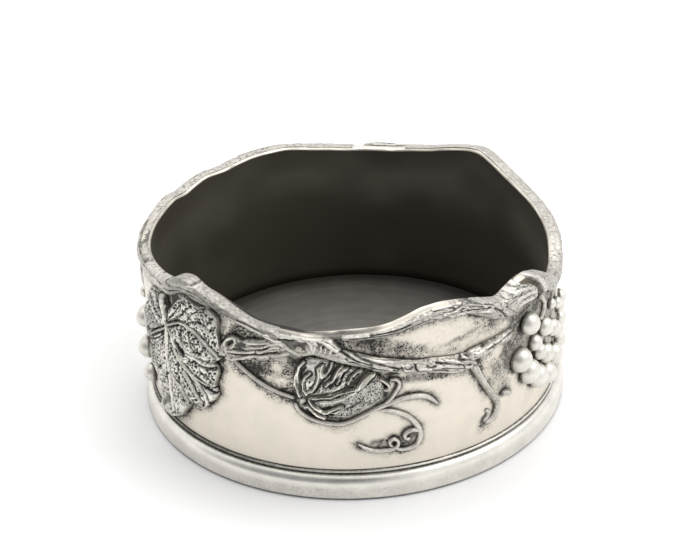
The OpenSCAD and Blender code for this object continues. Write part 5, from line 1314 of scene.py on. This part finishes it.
for label, scale, detail in (("fine", 3200.0, 3.0), ("ragged", 1150.0, 4.0), ("cloud", 160.0, 3.0),
                             ("mottle", 1100.0, 4.0)):
    node = add_node(wiped, "ShaderNodeTexNoise", inputs={"Scale": scale, "Detail": detail, "Roughness": 0.6})
    link(wiped, place, node.inputs["Vector"])
    noise[label] = node.outputs[0]
dots = []
for scale, share in ((1250.0, 0.46), (2000.0, 0.5)):
    node = add_node(wiped, "ShaderNodeTexVoronoi", inputs={"Scale": scale, "Randomness": 1.0})
    link(wiped, place, node.inputs["Vector"])
    limit = math_node(wiped, "MULTIPLY", given["Dots"], share)
    inside = math_node(wiped, "SUBTRACT", limit, node.outputs["Distance"])
    dots.append(range_node(wiped, inside, -0.03, 0.05))
dot = math_node(wiped, "MAXIMUM", dots[0], dots[1])
loose = math_node(wiped, "SUBTRACT", 1.0, given["Even"])
ragged = math_node(wiped, "MULTIPLY", math_node(wiped, "SUBTRACT", noise["ragged"], 0.5), loose)
ragged_patina_and_shade = math_node(wiped, "MULTIPLY_ADD", ragged, 1.0)
ragged_patina_and_shade.node.inputs[1].default_value = 0.85
room = math_node(wiped, "MULTIPLY", math_node(wiped, "ADD", given["Tarnish"], 0.05), 1.0)
link(wiped, math_node(wiped, "MULTIPLY", ragged, math_node(wiped, "SQRT", room)), ragged_patina_and_shade.node.inputs[0])
link(wiped, given["Tarnish"], ragged_patina_and_shade.node.inputs[2])
dark = math_node(wiped, "MAXIMUM", range_node(wiped, ragged_patina_and_shade, 0.05, 0.85), dot, clamp=True)
cloud = math_node(wiped, "SUBTRACT", noise["cloud"], 0.5)
bright = mix_colour(wiped, range_node(wiped, cloud, -0.2, 0.25), given["Bright"], given["Cloud"])
worn = math_node(wiped, "ADD", math_node(wiped, "MULTIPLY", math_node(wiped, "SUBTRACT", 1.0, given["Polish"]),
                                         given["Mottle"]), math_node(wiped, "MULTIPLY", given["Dots"], 0.45))
mottle = math_node(wiped, "MULTIPLY", range_node(wiped, noise["mottle"], 0.36, 0.74), worn, clamp=True)
bright = mix_colour(wiped, mottle, bright, (0.25, 0.235, 0.205, 1))
black = mix_colour(wiped, given["Brown"], (0.022, 0.021, 0.019, 1), (0.105, 0.088, 0.058, 1))
link(wiped, mix_colour(wiped, dark, bright, black), result["Colour"])
rough = math_node(wiped, "MULTIPLY_ADD", noise["fine"], 0.12)
link(wiped, given["Smooth Roughness"], rough.node.inputs[2])
link(wiped, range_node(wiped, dark, 0.0, 1.0, rough, 0.6), result["Roughness"])
link(wiped, range_node(wiped, dark, 0.0, 1.0, 1.0, 0.35), result["Metal"])
grain = math_node(wiped, "SUBTRACT", math_node(wiped, "MULTIPLY", noise["fine"], given["Grain"]), mottle)
link(wiped, math_node(wiped, "SUBTRACT", grain, math_node(wiped, "MULTIPLY", dark, 1.5)), result["Height"])
print("group sockets:", [item.name for item in wiped.interface.items_tree])


# %% Pewter materials
def pewter(name, bright, cloud, roughness, grain, bump, mottle):
    """Metal whose colour, roughness and metal share come from the group, with its own bump strength."""
    material = bpy.data.materials.new(name)
    material.use_nodes = True
    tree = material.node_tree
    shader = tree.nodes["Principled BSDF"]
    history = add_node(tree, "ShaderNodeGroup", at=(-500, 0), node_tree=wiped)
    history.inputs["Bright"].default_value = bright
    history.inputs["Cloud"].default_value = cloud
    history.inputs["Smooth Roughness"].default_value = roughness
    history.inputs["Grain"].default_value = grain
    history.inputs["Mottle"].default_value = mottle
    for key in ("Tarnish", "Dots", "Polish", "Brown", "Even"):
        mark = add_node(tree, "ShaderNodeAttribute", at=(-800, 0), attribute_name=key.lower())
        link(tree, mark.outputs["Fac"], history.inputs[key])
    raised = add_node(tree, "ShaderNodeBump", at=(-200, -200), inputs={"Strength": bump, "Distance": 0.00006})
    link(tree, history.outputs["Height"], raised.inputs["Height"])
    link(tree, history.outputs["Colour"], shader.inputs["Base Color"])
    link(tree, history.outputs["Roughness"], shader.inputs["Roughness"])
    link(tree, history.outputs["Metal"], shader.inputs["Metallic"])
    link(tree, raised.outputs["Normal"], shader.inputs["Normal"])
    return material


FINISHES = {
    "wall_pewter": pewter("wall_pewter", (0.78, 0.725, 0.63, 1), (0.72, 0.675, 0.595, 1), 0.34, 0.5, 0.7, 0.0),
    "ring_pewter": pewter("ring_pewter", (0.83, 0.80, 0.74, 1), (0.70, 0.68, 0.63, 1), 0.24, 0.3, 0.3, 0.08),
    "vine_pewter": pewter("vine_pewter", (0.74, 0.71, 0.65, 1), (0.63, 0.605, 0.555, 1), 0.34, 0.8, 0.9, 0.5),
    "leaf_pewter": pewter("leaf_pewter", (0.88, 0.855, 0.79, 1), (0.74, 0.715, 0.655, 1), 0.24, 0.8, 0.8, 0.3),
    "grape_pewter": pewter("grape_pewter", (0.8, 0.775, 0.715, 1), (0.73, 0.705, 0.65, 1), 0.38, 0.4, 0.5, 0.15),
    "floor_pewter": pewter("floor_pewter", (0.5, 0.48, 0.44, 1), (0.42, 0.40, 0.37, 1), 0.4, 0.5, 0.4, 0.0)}
print("finishes:", sorted(FINISHES))

# %% [markdown]
# ## Felt
#
# The pad under the coaster is pressed wool felt. Only its edge is ever seen, as a thin dark line. Wool is a
# matt tangle of fibres, so it is a plain shader with sheen, broken up by two noises.

# %% Felt material
felt = bpy.data.materials.new("felt")
felt.use_nodes = True
tree = felt.node_tree
shader = tree.nodes["Principled BSDF"]
shader.inputs["Metallic"].default_value = 0.0
shader.inputs["Roughness"].default_value = 0.95
shader.inputs["Sheen Weight"].default_value = 0.3
place = add_node(tree, "ShaderNodeTexCoord").outputs["Object"]
tangle = add_node(tree, "ShaderNodeTexNoise", inputs={"Scale": 2600.0, "Detail": 6.0, "Distortion": 1.5})
tufts = add_node(tree, "ShaderNodeTexNoise", inputs={"Scale": 300.0, "Detail": 3.0})
for node in (tangle, tufts):
    link(tree, place, node.inputs["Vector"])
mixed = math_node(tree, "ADD", math_node(tree, "MULTIPLY", tangle.outputs[0], 0.6),
                  math_node(tree, "MULTIPLY", tufts.outputs[0], 0.4))
link(tree, mix_colour(tree, mixed, (0.008, 0.012, 0.010, 1), (0.045, 0.06, 0.05, 1)), shader.inputs["Base Color"])
raised = add_node(tree, "ShaderNodeBump", inputs={"Strength": 0.8, "Distance": 0.0002})
link(tree, tangle.outputs[0], raised.inputs["Height"])
link(tree, raised.outputs["Normal"], shader.inputs["Normal"])
FINISHES["felt"] = felt

# %% Give each piece its finish
slots = {"foot_ring": "ring_pewter", "floor_disc": "floor_pewter", "felt_pad": "felt", "wall_band": "wall_pewter",
         "leaf": "leaf_pewter", "grapes": "grape_pewter"}
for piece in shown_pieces():
    if piece.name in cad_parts:
        continue
    finish = "vine_pewter"
    for word, name in slots.items():
        if word in piece.name and "stem" not in piece.name:
            finish = name
    piece.data.materials.clear()
    piece.data.materials.append(FINISHES[finish])

# %% [markdown]
# ## Table, light and camera
#
# The object stands on a plain white table in a bright, soft studio. Metal shows what is round it, so most of
# the light comes from wide sources: a key softbox on the right, one overhead, and a bright room that is
# greyer towards the front left and dark just behind the camera.
# The camera was fitted to the photograph by the rim, the foot ring and the height between them.

# %% Floor and lights
bpy.ops.mesh.primitive_plane_add(size=6.0, location=(0, 0, 0))
table = bpy.context.object
table.name = "table_top"
sweep = bpy.data.materials.new("table_white")
sweep.use_nodes = True
white = sweep.node_tree.nodes["Principled BSDF"]
white.inputs["Base Color"].default_value = (0.93, 0.93, 0.93, 1)
white.inputs["Roughness"].default_value = 0.9
table.data.materials.append(sweep)

world = bpy.data.worlds.new("studio")
bpy.context.scene.world = world
world.use_nodes = True
sky = world.node_tree
look = add_node(sky, "ShaderNodeTexCoord").outputs["Generated"]


def towards(direction, low, high):
    """1 where a direction of the room is close to the given one, 0 where it is far."""
    node = add_node(sky, "ShaderNodeVectorMath", operation="DOT_PRODUCT")
    link(sky, look, node.inputs[0])
    node.inputs[1].default_value = direction
    return range_node(sky, node.outputs["Value"], low, high)


room = mix_colour(sky, towards((-0.5, -0.85, 0.12), 0.45, 0.92), (1.0, 1.0, 1.0, 1), (0.3, 0.3, 0.31, 1))
room = mix_colour(sky, towards((0, -0.84, 0.54), 0.96, 0.99), room, (0.03, 0.03, 0.035, 1))
link(sky, room, sky.nodes["Background"].inputs["Color"])
sky.nodes["Background"].inputs["Strength"].default_value = 1.06


def softbox(name, place, aim, size, power, tint=(1, 1, 1)):
    """An area light at a place, turned towards another."""
    lamp = bpy.data.lights.new(name, "AREA")
    lamp.shape, lamp.size, lamp.energy, lamp.color = "SQUARE", size, power, tint
    holder = bpy.data.objects.new(name, lamp)
    bpy.context.scene.collection.objects.link(holder)
    holder.location = place
    holder.rotation_euler = (Vector(aim) - Vector(place)).to_track_quat("-Z", "Y").to_euler()


softbox("key", (0.9, -0.1, 1.2), (0, 0, 0.03), 0.9, 6.8)
softbox("overhead", (-0.1, 0.6, 1.6), (0, 0, 0.03), 1.2, 9)

# %% Camera
FOCAL, ELEVATION, DISTANCE = 1490.6, 32.51, 0.4465
ROLL, PAN, TILT = (math.radians(v) for v in (-2.15, -0.06, -3.64))
e = math.radians(ELEVATION)
eye = Vector((0, -math.cos(e) * DISTANCE, math.sin(e) * DISTANCE))
down = e + TILT
forward = Vector((math.sin(PAN) * math.cos(down), math.cos(PAN) * math.cos(down), -math.sin(down)))
right = Vector((math.cos(PAN), -math.sin(PAN), 0))
up = right.cross(forward)
x_axis = math.cos(ROLL) * right + math.sin(ROLL) * up
y_axis = -math.sin(ROLL) * right + math.cos(ROLL) * up
lens = bpy.data.cameras.new("camera")
lens.sensor_fit, lens.sensor_width, lens.lens = "HORIZONTAL", 36.0, FOCAL * 36.0 / 700
lens.clip_start = 0.01
camera = bpy.data.objects.new("camera", lens)
bpy.context.scene.collection.objects.link(camera)
turn = Matrix((x_axis, y_axis, -forward)).transposed()
camera.matrix_world = Matrix.Translation(eye) @ turn.to_4x4()
bpy.context.scene.camera = camera
bpy.context.scene.view_settings.view_transform = "Standard"
print("lens", round(lens.lens, 2), "mm")
